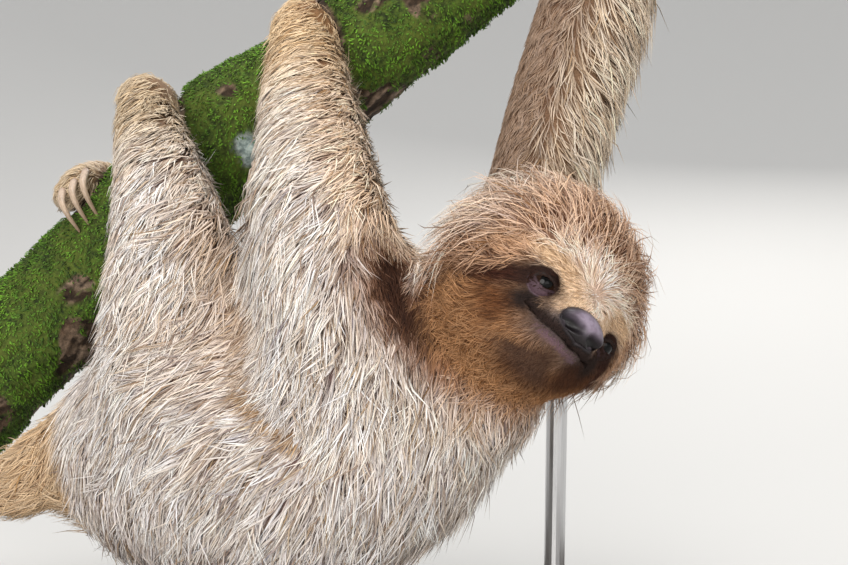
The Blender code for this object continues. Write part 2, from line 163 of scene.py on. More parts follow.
def node_bmesh(name):
    """A copy of a solid, with its loose triangles joined."""
    bm = bmesh.new()
    bm.from_mesh(nodes[name].data)
    bmesh.ops.remove_doubles(bm, verts=bm.verts, dist=2e-5)
    return bm


def middle(name):
    low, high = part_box(name)
    return (low + high) / 2


def with_modifier(mesh, kind, **settings):
    """The mesh after one modifier."""
    holder = new_object("holder", mesh)
    modifier = holder.modifiers.new(kind, kind)
    for key, value in settings.items():
        setattr(modifier, key, value)
    bpy.context.view_layer.update()
    made = bpy.data.meshes.new_from_object(holder.evaluated_get(bpy.context.evaluated_depsgraph_get()))
    bpy.data.objects.remove(holder)
    return made


def read(items, key, width=1, kind=np.int32):
    """One value or vector of every item of a mesh, with a row for each."""
    flat = np.empty(len(items) * width, kind)
    items.foreach_get(key, flat)
    return flat.reshape(-1, width) if width > 1 else flat


def coords(mesh):
    return read(mesh.vertices, "co", 3, float)


def vertex_normals(mesh):
    return read(mesh.vertex_normals, "vector", 3, np.float32).astype(float)


def set_coords(mesh, places):
    mesh.vertices.foreach_set("co", places.ravel())
    mesh.update()


def edge_pairs(mesh):
    return read(mesh.edges, "vertices", 2)


def spread(values, pairs, passes, hold=0.5):
    """Averages a value, or a vector, over each vertex's neighbours, several times."""
    values = values.astype(float)
    if values.ndim == 1:
        return spread(values[:, None], pairs, passes, hold)[:, 0]
    count = np.bincount(pairs.ravel(), minlength=len(values))[:, None]
    for _ in range(passes):
        total = np.zeros_like(values)
        for axis in range(values.shape[1]):
            total[:, axis] = (np.bincount(pairs[:, 0], values[pairs[:, 1], axis], len(values))
                              + np.bincount(pairs[:, 1], values[pairs[:, 0], axis], len(values)))
        values = values * hold + total / np.maximum(count, 1) * (1 - hold)
    return values


def ramp(value, low, high):
    """0 at low, 1 at high, and smooth between."""
    t = np.clip((value - low) / (high - low), 0.0, 1.0)
    return t * t * (3 - 2 * t)


def distances(places, point):
    return np.linalg.norm(places - np.array(point), axis=1)


def gaps(tree, places):
    """How far each place lies from a surface."""
    return np.array([tree.find_nearest(p)[3] for p in places])


def node_tree_of(names):
    """A search tree over several solids, and the name that owns each of its faces."""
    places, faces, owners = [], [], []
    for name in names:
        start = len(places)
        places += [v.co for v in nodes[name].data.vertices]
        faces += [[start + i for i in p.vertices] for p in nodes[name].data.polygons]
        owners += [name] * len(nodes[name].data.polygons)
    return BVHTree.FromPolygons(places, faces), owners


EYE_FROM_MIDDLE = Vector((0.0190, 0.0281, -0.0109))    # from the middle of the skull
NOSE_DROP = math.atan2(0.0075, 0.0131)      # how far the nose lies below straight ahead of the eyes

across = (middle("eye_right") - middle("eye_left")).normalized()
between_eyes = (middle("eye_right") + middle("eye_left")) / 2
ahead = Matrix.Rotation(NOSE_DROP, 3, across) @ (middle("nose") - between_eyes).normalized()
upward = across.cross(ahead)
skull = between_eyes - ahead * EYE_FROM_MIDDLE.y - upward * EYE_FROM_MIDDLE.z
HEAD_AXES = np.array([across, ahead, upward])
HEAD_PLACE = np.array(skull)


def to_head(places):
    return (np.asarray(places) - HEAD_PLACE) @ HEAD_AXES.T


def from_head(places):
    return np.asarray(places) @ HEAD_AXES + HEAD_PLACE


def flesh_at(places):
    """The solid of flesh that lies nearest to each place."""
    return [flesh_owner[flesh_tree.find_nearest(p)[2]] for p in places]


def part_of(name):
    """A solid's name without its side."""
    return name.split("_", 1)[-1]


cast = bmesh.new()
for name in FLESH + list(FEATURES):
    bm = node_bmesh(name)
    bm.normal_update()
    for v in bm.verts:
        v.co += v.normal * HIDE_SWELL
    cast.from_mesh(mesh_of(bm, "part"))
for claw, paw in CLAWS.items():
    plug = node_bmesh(claw)
    root = min((v.co for v in plug.verts), key=lambda co: (co - middle(paw)).length).copy()
    far = [v for v in plug.verts if (v.co - root).length > CLAW_PLUG]
    bmesh.ops.delete(plug, geom=far, context="VERTS")
    hull = bmesh.ops.convex_hull(plug, input=plug.verts)
    inner = {g for g in hull["geom_interior"] + hull["geom_unused"] if isinstance(g, bmesh.types.BMVert)}
    bmesh.ops.delete(plug, geom=list(inner), context="VERTS")
    cast.from_mesh(mesh_of(plug, "plug"))
hide_mesh = with_modifier(mesh_of(cast, "cast"), "REMESH", mode="VOXEL", voxel_size=HIDE_GRAIN)
hide_pairs = edge_pairs(hide_mesh)
hide_places = spread(coords(hide_mesh), hide_pairs, 12)
set_coords(hide_mesh, hide_places)

flesh_tree, flesh_owner = node_tree_of(FLESH)
branch_tree, _ = node_tree_of(["perch_branch"])
hide_depth = np.array([COAT_DEPTH[part_of(name)] for name in flesh_at(hide_places)])
hide_depth = hide_depth * ramp(gaps(branch_tree, hide_places), 0.001, PALM_REACH)
from_features = np.min([distances(hide_places, middle(name)) - radius for name, radius in FEATURES.items()],
                       axis=0)
hide_depth = hide_depth * (0.06 + 0.94 * ramp(from_features, 0.001, 0.018))     # thin round eyes and nose
hide_depth = spread(hide_depth, hide_pairs, 8)
for _ in range(SHRINK_STEPS):
    hide_places = hide_places - vertex_normals(hide_mesh) * hide_depth[:, None] / SHRINK_STEPS
    hide_places = spread(hide_places, hide_pairs, 2)
    set_coords(hide_mesh, hide_places)

# The face is worked on a finer grid, in the head's own axes: to the animal's right, forward and up
# from the middle of the skull.
FACE_REACH = (0.050, 0.036)         # the face is refined twice, inside these distances of its middle
FACE_MIDDLE, FACE_PROPORTION = (0.0, 0.040, -0.017), (1.0, 0.8, 1.0)
FINE_EYE = (0.0190, -0.0117, 0.0088)    # the finest grid round an eye: place across, up, and radius
FINE_MOUTH = (0.0042, 0.003)            # and how far it reaches over and past the mouth
EYES = {"eye_right": 1, "eye_left": -1}     # and the side of the head that each is on
EYE_OUTWARD = 0.30                      # how far each eye looks out to its own side
LID_THICKNESS, LID_REACH, LID_DROOP = 0.0007, 0.0125, 0.10
LID_HALF_LENGTH, LID_HALF_HEIGHT = 0.88, 0.33    # the eye's opening, as angles on the ball
MOUTH_LOW, MOUTH_RISE, MOUTH_HALF = -0.0272, 0.0062, 0.0205
NOSE_HEIGHT = -0.0184
FACE_FORMS = (      # how far forward, place across and up, half width and half height
    (0.0016, 0.0185, -0.0010, 0.0100, 0.0042),      # brow
    (-0.0024, 0.0185, -0.0115, 0.0085, 0.0070),     # socket
    (-0.0012, 0.0, -0.0040, 0.0050, 0.0060),        # stop between the eyes
    (0.0016, 0.0075, -0.0235, 0.0065, 0.0040),      # upper lip's pads
    (-0.0010, 0.0, -0.0256, 0.0013, 0.0030),        # cleft below the nose
    (0.0012, 0.0, -0.0365, 0.0100, 0.0050),         # chin
    (0.0014, 0.0260, -0.0270, 0.0080, 0.0080),      # cheek
)
LIP_FORMS = (       # how far forward, height over the mouth's line, and half height
    (-0.0030, 0.0, 0.00075),        # the closed mouth
    (0.0011, 0.0019, 0.0013),       # upper lip's edge
    (0.0016, -0.0021, 0.0014),      # lower lip
)


def finer(bm, picked):
    """Subdivides the faces whose middle, in the head's axes, is picked."""
    faces = list(bm.faces)
    middles = to_head([f.calc_center_median() for f in faces])
    chosen = [f for f, keep in zip(faces, picked(middles)) if keep]
    edges = list({e for f in chosen for e in f.edges})
    bmesh.ops.subdivide_edges(bm, edges=edges, cuts=1, use_grid_fill=True)


def in_face(reach):
    """A test of which places, in the head's axes, lie in a round of the face."""
    def picked(p):
        return (np.linalg.norm((p - FACE_MIDDLE) * FACE_PROPORTION, axis=1) < reach) & (p[:, 1] > 0)
    return picked


def near_features(p):
    """The rims of the eyes and the line of the mouth."""
    eye_across, eye_up, eye_reach = FINE_EYE
    over, past = FINE_MOUTH
    eye = np.hypot(np.abs(p[:, 0]) - eye_across, p[:, 2] - eye_up) < eye_reach
    mouth = (np.abs(p[:, 2] - mouth_line(p[:, 0])) < over) & (np.abs(p[:, 0]) < MOUTH_HALF + past)
    return (eye | mouth) & (p[:, 1] > 0.01)


def mouth_line(x):
    """Height of the closed mouth: low in the middle and rising in a long smile to each corner."""
    return MOUTH_LOW + MOUTH_RISE * np.minimum(np.abs(x) / MOUTH_HALF, 1.15) ** 1.5


bm = bmesh.new()
bm.from_mesh(hide_mesh)
for reach in FACE_REACH:
    finer(bm, in_face(reach))
finer(bm, near_features)
hide_mesh = mesh_of(bm, "hide")
hide_pairs = edge_pairs(hide_mesh)
hide_places = coords(hide_mesh)
face = in_face(FACE_REACH[0] + 0.004)(to_head(hide_places))
softened = spread(hide_places, hide_pairs, 6)
hide_places[face] = softened[face]


def swelling(x, z, at_x, at_z, wide, high):
    """A soft round swelling on both sides of the face."""
    return np.exp(-((np.abs(x) - at_x) / wide) ** 2 - ((z - at_z) / high) ** 2)


def sculpt_face(places):
    """Muzzle, lips, brow and sockets, as a push forward along the face."""
    p = to_head(places)
    x, y, z = p.T
    front = ramp(y, 0.012, 0.024)
    push = np.zeros(len(p))
    for forward, *form in FACE_FORMS:
        push += forward * swelling(x, z, *form)
    push -= 0.0050 * np.exp(-(x / 0.0085) ** 4 - ((z - NOSE_HEIGHT) / 0.0056) ** 4)   # room for the nostrils
    over_mouth = z - mouth_line(x)
    lips = ramp(MOUTH_HALF + 0.0015 - np.abs(x), 0.0, 0.004)
    for forward, up, high in LIP_FORMS:
        push += lips * forward * np.exp(-((over_mouth - up) / high) ** 2)
    p[:, 1] = y + push * front
    return from_head(p)


def looking(side, down):
    """The way that the eye on the right, 1, or the left, -1, is turned."""
    return HEAD_AXES[1] + HEAD_AXES[0] * side * EYE_OUTWARD - HEAD_AXES[2] * down


def wrap_lids(places, eye, side):
    """Draws the hide over one eyeball, with an almond opening where the ball shows."""
    ball = np.array(middle(eye))
    look = looking(side, 0.12)
    look /= np.linalg.norm(look)
    out = np.cross(look, HEAD_AXES[2]) * side
    out /= np.linalg.norm(out)
    high = np.cross(out, look) * side
    reach = places - ball
    far = np.linalg.norm(reach, axis=1)
    aim = reach / np.maximum(far, 1e-9)[:, None]
    along, level, tall = aim @ look, aim @ out, aim @ high
    near = (far < LID_REACH) & (along > 0.05)
    wide_angle, tall_angle = np.arctan2(level, along), np.arctan2(tall, along)
    opening = np.hypot(wide_angle / LID_HALF_LENGTH, (tall_angle + LID_DROOP) / LID_HALF_HEIGHT)
    hug = 1 - ramp(np.arccos(np.clip(along, -1, 1)), 0.80, 1.45)
    rim = EYE_BALL + LID_THICKNESS + 0.0005 * np.exp(-((opening - 1.25) / 0.22) ** 2)
    target = np.where(opening > 1.0, rim, EYE_BALL - 0.0016 * ramp(1.0 - opening, 0.0, 0.25) - 0.0002)
    over = np.maximum(far, target) * (1 - hug) + target * hug
    moved = places.copy()
    moved[near] = (ball + aim * over[:, None])[near]
    return moved


hide_places = sculpt_face(hide_places)
for eye, side in EYES.items():
    hide_places = wrap_lids(hide_places, eye, side)
set_coords(hide_mesh, hide_places)

# ---------------------------------------------------------------------------------------------
# Markings: where the coat is cream, tan, golden or dark, how long it is and which way it lies.
# They are worked out once over the hide, so that the skin and the fur above it always agree.
# A look is root colour, tip colour, and the hair's length, stand and width in metres.
# The dark root colours are the coat's brown underfur, and also painted shade in the gaps between the locks.
PART_LOOKS = {
    "trunk": ((0.20, 0.122, 0.108), (0.88, 0.835, 0.79), 0.026, 0.0085, 0.00086),
    "neck": ((0.20, 0.120, 0.090), (0.93, 0.865, 0.79), 0.023, 0.0080, 0.00086),
    "upper_arm": ((0.24, 0.140, 0.112), (0.94, 0.885, 0.825), 0.025, 0.0072, 0.00086),
    "thigh": ((0.24, 0.145, 0.120), (0.93, 0.885, 0.835), 0.025, 0.0072, 0.00086),
    "forearm": ((0.26, 0.148, 0.102), (0.94, 0.875, 0.79), 0.022, 0.0062, 0.00086),
    "shank": ((0.26, 0.158, 0.122), (0.94, 0.89, 0.83), 0.022, 0.0062, 0.00086),
    "hand": ((0.20, 0.11, 0.05), (0.76, 0.58, 0.37), 0.010, 0.0034, 0.00062),
    "foot": ((0.20, 0.12, 0.06), (0.78, 0.62, 0.43), 0.010, 0.0034, 0.00062),
    "tail": ((0.24, 0.12, 0.055), (0.76, 0.56, 0.36), 0.024, 0.0085, 0.00078),
    "head": ((0.12, 0.034, 0.014), (0.84, 0.585, 0.415), 0.025, 0.0120, 0.00050),
}
LOOK_COLUMNS = {"root": slice(0, 3), "tip": slice(3, 6), "length": 6, "stand": 7, "width": 8}
PART_LAYS = {   # the way that the hair runs over each part
    "neck": (-0.15, 0.0, -1.0), "upper_arm": (-0.42, 0.0, -0.90), "forearm": (-0.72, 0.0, -0.68),
    "hand": (-0.60, 0.0, -0.80), "thigh": (-0.75, 0.0, -0.65), "shank": (-0.82, 0.0, -0.55),
    "foot": (-0.80, 0.0, -0.60), "tail": (-0.75, 0.0, -0.55)}
LIMB_SPIRALS = {    # the higher and the lower solid of the limb, and the hair's turn off it in degrees
    "left_shank": ("left_shank", "left_thigh", 54),
    "left_thigh": ("left_shank", "left_thigh", 46),
    "left_forearm": ("left_forearm", "left_upper_arm", 63),
    "left_upper_arm": ("left_forearm", "left_upper_arm", 42)}
FAR_ARM_LAY, FAR_ARM_INNER_LAY = (0.55, 0.0, -0.85), (-0.45, 0.0, -0.80)
LAY_AT_PARTING, LAY_AT_RUMP, LAY_AT_CHEST = (-0.86, 0.0, -0.50), (-0.25, 0.0, -1.0), (-0.22, 0.0, -1.0)
WHORL = Vector((0.0, 0.0390, 0.0010))       # the crown of the head's hair, in the head's axes
EYE_RIGHT, EYE_HEIGHT = EYE_FROM_MIDDLE.x, EYE_FROM_MIDDLE.z
# Lines over the body, as parts of the trunk's box: the parting of the belly from its top to its
# lower end, the crease between the near arm and the head, and the fork between the near limbs.
BELLY_PARTING = ((0.450, 0.30, 1.06), (0.459, 0.25, 0.95), (0.470, 0.20, 0.86), (0.488, 0.12, 0.76),
                 (0.509, 0.083, 0.72), (0.550, 0.049, 0.675), (0.595, 0.025, 0.635))
HEAD_CREASE = ((0.770, 0.12, 1.13), (0.785, 0.085, 1.04), (0.812, 0.062, 0.99), (0.840, 0.042, 0.94),
               (0.865, 0.030, 0.89))
LIMB_FORK = ((0.43, 0.40, 1.40), (0.43, 0.40, 1.14), (0.46, 0.24, 0.90))

hide_node = flesh_at(hide_places)
hide_normals = vertex_normals(hide_mesh)
branch_gap = gaps(branch_tree, hide_places)
trunk_low, trunk_high = (np.array(corner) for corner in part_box("trunk"))
along_trunk = (hide_places - trunk_low) / (trunk_high - trunk_low)
head_x, head_y, head_z = to_head(hide_places).T
head_side = np.abs(head_x)
world_x, _, world_z = hide_places.T


def unit(vectors):
    return vectors / np.maximum(np.linalg.norm(vectors, axis=1), 1e-9)[:, None]


def share(*parts, passes=16):
    """How far each point of the hide belongs to the named parts, with soft borders."""
    inside = [name in parts or part_of(name) in parts for name in hide_node]
    return spread(np.array(inside, float), hide_pairs, passes)


def oval(across_gap, along_gap, across_size, along_size, edge=0.5):
    """1 inside an oval patch, 0 outside, with a soft edge."""
    return 1 - ramp(np.hypot(across_gap / across_size, along_gap / along_size), 1 - edge, 1 + edge)


def near_place(place, size, edge=0.5):
    return oval(distances(hide_places, place), 0.0, size, 1.0, edge)


def near_line(places, size):
    """A soft band along a line of places, each first drawn in to the hide."""
    nearest = np.full(len(hide_places), 9.0)
    places = [hide_places[np.argmin(distances(hide_places, p))] for p in places]
    for start, end in zip(places, places[1:]):
        run = end - start
        t = np.clip((hide_places - start) @ run / (run @ run), 0, 1)[:, None]
        nearest = np.minimum(nearest, np.linalg.norm(hide_places - start - t * run, axis=1))
    return 1 - ramp(nearest, size * 0.4, size * 1.5)


def on_trunk(parts):
    return trunk_low + (trunk_high - trunk_low) * np.array(parts)


def overlay(values, mask, value):
    return values + (np.array(value) - values) * mask[:, None]


look = np.zeros((len(hide_places), 9))
lay = np.zeros((len(hide_places), 3))
total = np.zeros(len(hide_places))
for part, (root, tip, length, stand, width) in PART_LOOKS.items():
    weight = share(part)
    look += weight[:, None] * np.array((*root, *tip, length, stand, width))
    total += weight
    if part in PART_LAYS:
        lay += weight[:, None] * np.array(PART_LAYS[part])
look /= total[:, None]
belly_parting, head_crease, limb_fork = on_trunk(BELLY_PARTING), on_trunk(HEAD_CREASE), on_trunk(LIMB_FORK)
past_parting = world_x - np.interp(world_z, belly_parting[::-1, 2], belly_parting[::-1, 0])
chestward = ramp(past_parting, -0.004, 0.010)[:, None]
rumpward = ramp(-past_parting, 0.040, 0.085)[:, None]
rumpward = np.maximum(rumpward, 0.8 * ramp(belly_parting[-1, 2] - world_z, -0.010, 0.055)[:, None])
on_belly = np.array(LAY_AT_PARTING) * (1 - rumpward) + np.array(LAY_AT_RUMP) * rumpward
lay += share("trunk")[:, None] * (on_belly * (1 - chestward) + np.array(LAY_AT_CHEST) * chestward)
for part, (higher, lower, turn) in LIMB_SPIRALS.items():
    down = np.array((middle(lower) - middle(higher)).normalized())
    angle = math.radians(turn) * (1 - 0.35 * ramp(hide_normals[:, 0], 0.2, 1.0))[:, None]
    spiral = down * np.cos(angle) + np.cross(down, hide_normals) * np.sin(angle)
    lay += share(part)[:, None] * (spiral - np.array(PART_LAYS[part_of(part)]))
lay = overlay(lay, near_line(head_crease, 0.020), (0.05, 0.0, -1.0))
far_arm = share("right_upper_arm", "right_forearm", "right_hand")
far_arm_outer = far_arm * ramp(hide_normals @ np.array(Vector((0.85, -0.45, -0.2)).normalized()), 0.05, 0.55)
lay = overlay(lay, far_arm, FAR_ARM_INNER_LAY)
lay = overlay(lay, far_arm_outer, FAR_ARM_LAY)

on_head = share("head", passes=6)
front = ramp(head_y, 0.004, 0.020) * on_head
line_gap = head_z - mouth_line(head_x)
mouth_ends = ramp(MOUTH_HALF + 0.004 - head_side, 0.0, 0.004)
muzzle = oval(head_x, head_z + 0.0220, 0.0165, 0.0085, 0.35) * front
stripe_drop = EYE_HEIGHT + 0.0014 - 0.52 * (head_side - EYE_RIGHT)
stripe = (np.exp(-((head_z - stripe_drop) / 0.0056) ** 4)
          * ramp(head_side, 0.019, 0.023) * (1 - ramp(head_side, 0.033, 0.044)))
above_stripe = (np.exp(-((head_z - stripe_drop - 0.0125) / 0.0075) ** 4) * front
                * ramp(head_side, 0.024, 0.030) * (1 - ramp(head_side, 0.040, 0.050)))
mouth_corner = oval(head_side - MOUTH_HALF + 0.0006, head_z - mouth_line(MOUTH_HALF) - 0.0006,
                    0.0054, 0.0038) * front
eye_ring = oval(head_side - EYE_RIGHT - 0.0010, head_z - EYE_HEIGHT, 0.0086, 0.0066, 0.30) * front
arm_tops = ramp(world_z, 0.300, 0.345) * share("left_forearm", "left_hand")
leg_tops = ramp(world_z, 0.275, 0.310) * share("left_shank", "left_foot")
face_front = oval(head_x, head_z + 0.004, 0.032, 0.027, 0.40) * front
pale_rim_lightened = on_head * ramp(np.hypot(head_x, head_z - 0.004), 0.029, 0.042) * ramp(head_z, -0.020, 0.0)
low_rim = on_head * ramp(head_x, 0.022, 0.034) * ramp(-0.001 - head_z, 0.0, 0.010)
# The near limbs' warm side, which faces away from the key light; its roots are painted lighter there to lift
# its shade.
limb_side_warm_and_lightened = ((0.85 * share("left_upper_arm", "left_forearm") + 0.35 * share("left_thigh", "left_shank"))
               * ramp(hide_normals[:, 0], 0.15, 0.75))
blotches = np.array([noise.fractal(Vector(p) * 26.0, 1.0, 2.0, 2) for p in hide_places])
on_body = 1 - on_head
rump_end = ramp(-world_x, 0.146, 0.158) * share("trunk", "tail")


def from_nose(*half_size):
    """Distance from the middle of the nose, where 1 is an oval of these half sizes round it."""
    return np.linalg.norm((to_head(hide_places) - to_head([middle("nose")])) / half_size, axis=1)


def mark(mask, **values):
    """Lays one marking over the coat's look: its root, tip, length, stand or width."""
    for name, value in values.items():
        column = look[:, LOOK_COLUMNS[name]]
        changed = overlay(column.reshape(len(look), -1), mask, value)
        look[:, LOOK_COLUMNS[name]] = changed.reshape(column.shape)


# Body and limbs: warm and grey blotches, the brown fork between the near limbs, the limbs' warm
# inner sides with their roots painted lighter to lift the shade there, their weathered tops, the
# rump, and the far arm's shaded inside and lit outside.
mark(ramp(blotches, 0.10, 0.60) * on_body * 0.40, root=(0.20, 0.10, 0.055), tip=(0.80, 0.64, 0.50))
mark(ramp(-blotches, 0.25, 0.60) * on_body * 0.35, root=(0.13, 0.08, 0.07), tip=(0.70, 0.61, 0.57))
mark(near_line(limb_fork, 0.014) * 0.70, root=(0.16, 0.085, 0.05), tip=(0.72, 0.55, 0.42))
mark(near_place(on_trunk((0.458, 0.35, 1.21)), 0.025), length=0.031, stand=0.0200)
mark(limb_side_warm_and_lightened * 0.85, root=(0.36, 0.200, 0.115), tip=(0.90, 0.67, 0.46))
mark(arm_tops, root=(0.24, 0.12, 0.05), tip=(0.84, 0.63, 0.40), length=0.020)
mark(leg_tops, root=(0.22, 0.13, 0.07), tip=(0.74, 0.60, 0.42), length=0.018)
mark(rump_end, root=(0.24, 0.12, 0.055), tip=(0.76, 0.56, 0.36), length=0.024, stand=0.0070, width=0.00080)
mark(far_arm, root=(0.15, 0.08, 0.047), tip=(0.36, 0.255, 0.185), length=0.011, stand=0.0022, width=0.00060)
mark(far_arm_outer, root=(0.24, 0.14, 0.08), tip=(0.92, 0.78, 0.61),
     length=0.028, stand=0.0125, width=0.00080)
# The belly's parting, where the dark roots show through short hair, most of all at its lower end.
mark(near_line(belly_parting, 0.013), length=0.015, stand=0.0050)
mark(near_line(belly_parting[:4], 0.0040) * 0.55, root=(0.10, 0.048, 0.026), tip=(0.52, 0.36, 0.23),
     length=0.014)
mark(near_line(belly_parting[3:], 0.0038), root=(0.07, 0.030, 0.013), tip=(0.50, 0.325, 0.18),
     length=0.012, stand=0.0062, width=0.00070)
# The long pale ruff round the head, browner below, and the crease between head and near arm, where painted
# shadow darkens its reddish-brown hair.
# The ruff's roots are painted lighter, to lift the shade at the head's rim.
mark(pale_rim_lightened, root=(0.34, 0.20, 0.135), tip=(1.00, 0.83, 0.70), length=0.023, stand=0.0125)
mark(pale_rim_lightened * ramp(head_x, 0.004, 0.028), length=0.030, stand=0.0170)
mark(low_rim, root=(0.12, 0.05, 0.026), tip=(0.66, 0.42, 0.28), length=0.022, stand=0.0110)
# Painted shadow in the crease: dark reddish-brown hair, near black down its deepest part.
mark(near_line(head_crease, 0.017), root=(0.07, 0.027, 0.013), tip=(0.31, 0.150, 0.085),
     length=0.014, stand=0.0055, width=0.00066)
mark(near_line(head_crease[:4], 0.0100), root=(0.016, 0.006, 0.003), tip=(0.050, 0.019, 0.009),
     length=0.014, stand=0.0042, width=0.00060)
# Forehead, pale brow, throat, dark chin and cheeks, the grey muzzle and the skin under its lip.
mark(ramp(0.030 - head_z, 0.0, 0.024) * face_front, root=(0.13, 0.055, 0.026), tip=(0.74, 0.50, 0.33),
     length=0.0120, stand=0.0052, width=0.00042)
mark(oval(head_x, head_z - 0.001, 0.024, 0.012) * front, root=(0.58, 0.39, 0.28), tip=(1.26, 1.02, 0.86),
     length=0.0085, stand=0.0034, width=0.00036)
mark(ramp(-head_z, 0.012, 0.024) * on_head, root=(0.12, 0.042, 0.016), tip=(0.50, 0.265, 0.125),
     length=0.0100, stand=0.0042, width=0.00044)
mark(oval(head_x + 0.005, head_z + 0.039, 0.017, 0.0080) * front, root=(0.022, 0.008, 0.004),
     tip=(0.075, 0.028, 0.012), length=0.0055, stand=0.0022, width=0.00038)
mark(oval(head_side - 0.028, head_z + 0.027, 0.0105, 0.0095) * front, root=(0.055, 0.018, 0.007),
     tip=(0.19, 0.078, 0.030), length=0.0065, stand=0.0024, width=0.00038)
mark(muzzle, root=(0.13, 0.098, 0.084), tip=(0.235, 0.185, 0.168), length=0.0026, stand=0.0009, width=0.00028)
mark(oval(head_x, head_z + 0.0345, 0.017, 0.0040) * front, root=(0.055, 0.028, 0.017),
     tip=(0.105, 0.055, 0.034), length=0.0030, stand=0.0010, width=0.00028)
# Tan patches between the eyes and over them, the nap round the nose and the darker left cheek.
mark(oval(head_side - 0.010, head_z - EYE_HEIGHT - 0.003, 0.007, 0.009) * front, root=(0.38, 0.23, 0.12),
     tip=(0.86, 0.62, 0.42), length=0.0042, stand=0.0014, width=0.00030)
mark(oval(head_side - 0.020, head_z - EYE_HEIGHT - 0.0105, 0.012, 0.0045) * front, root=(0.32, 0.18, 0.08),
     tip=(0.82, 0.58, 0.38), length=0.0060, stand=0.0022, width=0.00034)
mark(1 - ramp(from_nose(0.0104, 0.0085, 0.0070), 1.2, 2.0), length=0.0022, stand=0.0008, width=0.00026)
mark(oval(head_x + 0.0195, head_z + 0.0245, 0.0100, 0.0115) * front, root=(0.028, 0.011, 0.005),
     tip=(0.075, 0.029, 0.013), length=0.0045, stand=0.0018, width=0.00038)
# The dark stripe out from each eye, the ring round the eye, painted shadow along the mouth under its upper
# lip, and the mouth's dark corners.
mark(above_stripe, root=(0.14, 0.06, 0.028), tip=(0.62, 0.37, 0.22),
     length=0.0080, stand=0.0036, width=0.00042)
mark(stripe * on_head, root=(0.018, 0.005, 0.002), tip=(0.050, 0.014, 0.006),
     length=0.0075, stand=0.0020, width=0.00040)
mark(eye_ring, root=(0.012, 0.005, 0.003), tip=(0.036, 0.014, 0.009),
     length=0.0026, stand=0.0008, width=0.00028)
# Painted shadow on the hair along the mouth, deepest just under the upper lip.
mark(mouth_ends * np.exp(-((line_gap - 0.0016) / 0.0042) ** 2) * front, root=(0.022, 0.013, 0.011),
     tip=(0.034, 0.020, 0.017), length=0.0020, stand=0.0006, width=0.00026)
mark(mouth_corner, root=(0.014, 0.008, 0.006), tip=(0.026, 0.015, 0.012),
     length=0.0030, stand=0.0010, width=0.00030)

outward = hide_places - from_head([WHORL])[0]
lay = overlay(lay, on_head, (0, 0, 0)) + unit(outward) * on_head[:, None]


def along_hide(vectors, normals):
    """Unit vectors laid flat on the surface."""
    return unit(vectors - (vectors * normals).sum(1)[:, None] * normals)


for _ in range(2):
    lay = along_hide(spread(lay, hide_pairs, 4), hide_normals)

palm = np.clip(1 - ramp(branch_gap, 0.0015, 0.0045), 0, 1) * share("hand", "foot", passes=4)
nose_edge = 1 - ramp(from_nose(0.0108, 0.0090, 0.0072), 0.95, 1.12)
ball_gap = np.min([distances(hide_places, middle(eye)) for eye in EYES], axis=0)
lid_skin = 1 - ramp(ball_gap, EYE_BALL + 0.0008, EYE_BALL + 0.0016)
lip = (1 - ramp(head_side, 0.0090, 0.0170)) * front * np.exp(-((line_gap + 0.0025) / 0.0014) ** 2)
lower_lid = lid_skin * ramp(EYE_HEIGHT - 0.0006 - head_z, 0.0, 0.0010)
lower_lid = lower_lid * oval(head_side - EYE_RIGHT - 0.001, 0.0, 0.0052, 1.0)
lower_lid *= 1 - 0.6 * (head_x < 0)     # painted shade: the left eye's lower lid lies in the nose's shadow, so less lilac shows
lid_rim = lid_skin * oval(head_side - EYE_RIGHT - 0.0008, head_z - EYE_HEIGHT + 0.0004, 0.0056, 0.0030, 0.2)
bare_skin = np.clip(palm + nose_edge + np.maximum(lower_lid, lid_rim) + lip, 0, 1)

# The hide's own finish: the roots' colour under the fur, short velvet on the face, bare dark
# skin on the lids, the lips, the rim of the nose and the palms, and painted shadow along the mouth.
LID_LILAC, LID_DARK = (0.075, 0.043, 0.054), (0.012, 0.006, 0.004)
LIP_MAUVE, PALM_SKIN, NOSE_EDGE = (0.108, 0.060, 0.076), (0.11, 0.075, 0.060), (0.055, 0.045, 0.052)
# The mouth's near black is painted shadow, along the closed mouth and under the upper lip.
PAINTED_MOUTH_SHADOW = (0.005, 0.003, 0.003)

hide_tint = look[:, 0:3] * 0.85
velvet = 1 - ramp(look[:, 6], 0.0035, 0.0110)
hide_tint = hide_tint + (look[:, 3:6] * 0.62 - hide_tint) * (velvet * 0.7)[:, None]
for mask, colour in ((palm, PALM_SKIN), (lid_skin, LID_DARK), (lower_lid, LID_LILAC), (nose_edge, NOSE_EDGE),
                     (lip, LIP_MAUVE),
                     (mouth_ends * front * np.exp(-((line_gap - 0.0006) / 0.0018) ** 2), PAINTED_MOUTH_SHADOW)):
    hide_tint = overlay(hide_tint, mask, colour)


def add(tree, kind, inputs=None, **settings):
    """A shader node with its settings, and its inputs given as values or as other nodes' outputs."""
    node = tree.nodes.new("ShaderNode" + kind)
    for key, value in settings.items():
        setattr(node, key, value)
    for key, value in (inputs or {}).items():
        if isinstance(value, bpy.types.NodeSocket):
            tree.links.new(value, node.inputs[key])
        else:
            node.inputs[key].default_value = value
    return node


def attribute(tree, name, output="Color"):
    return add(tree, "Attribute", attribute_name=name).outputs[output]


def mixed(tree, factor, first, second, blend="MIX"):
    """A colour between two others. The inputs are values or sockets."""
    return add(tree, "Mix", {0: factor, 6: first, 7: second}, data_type="RGBA", blend_type=blend).outputs[2]


def stretched(tree, low, high, value, out_low=0.0, out_high=1.0):
    """Maps a value from one range to another, and clamps it."""
    return add(tree, "MapRange", {"Value": value, "From Min": low, "From Max": high,
                                  "To Min": out_low, "To Max": out_high}).outputs[0]


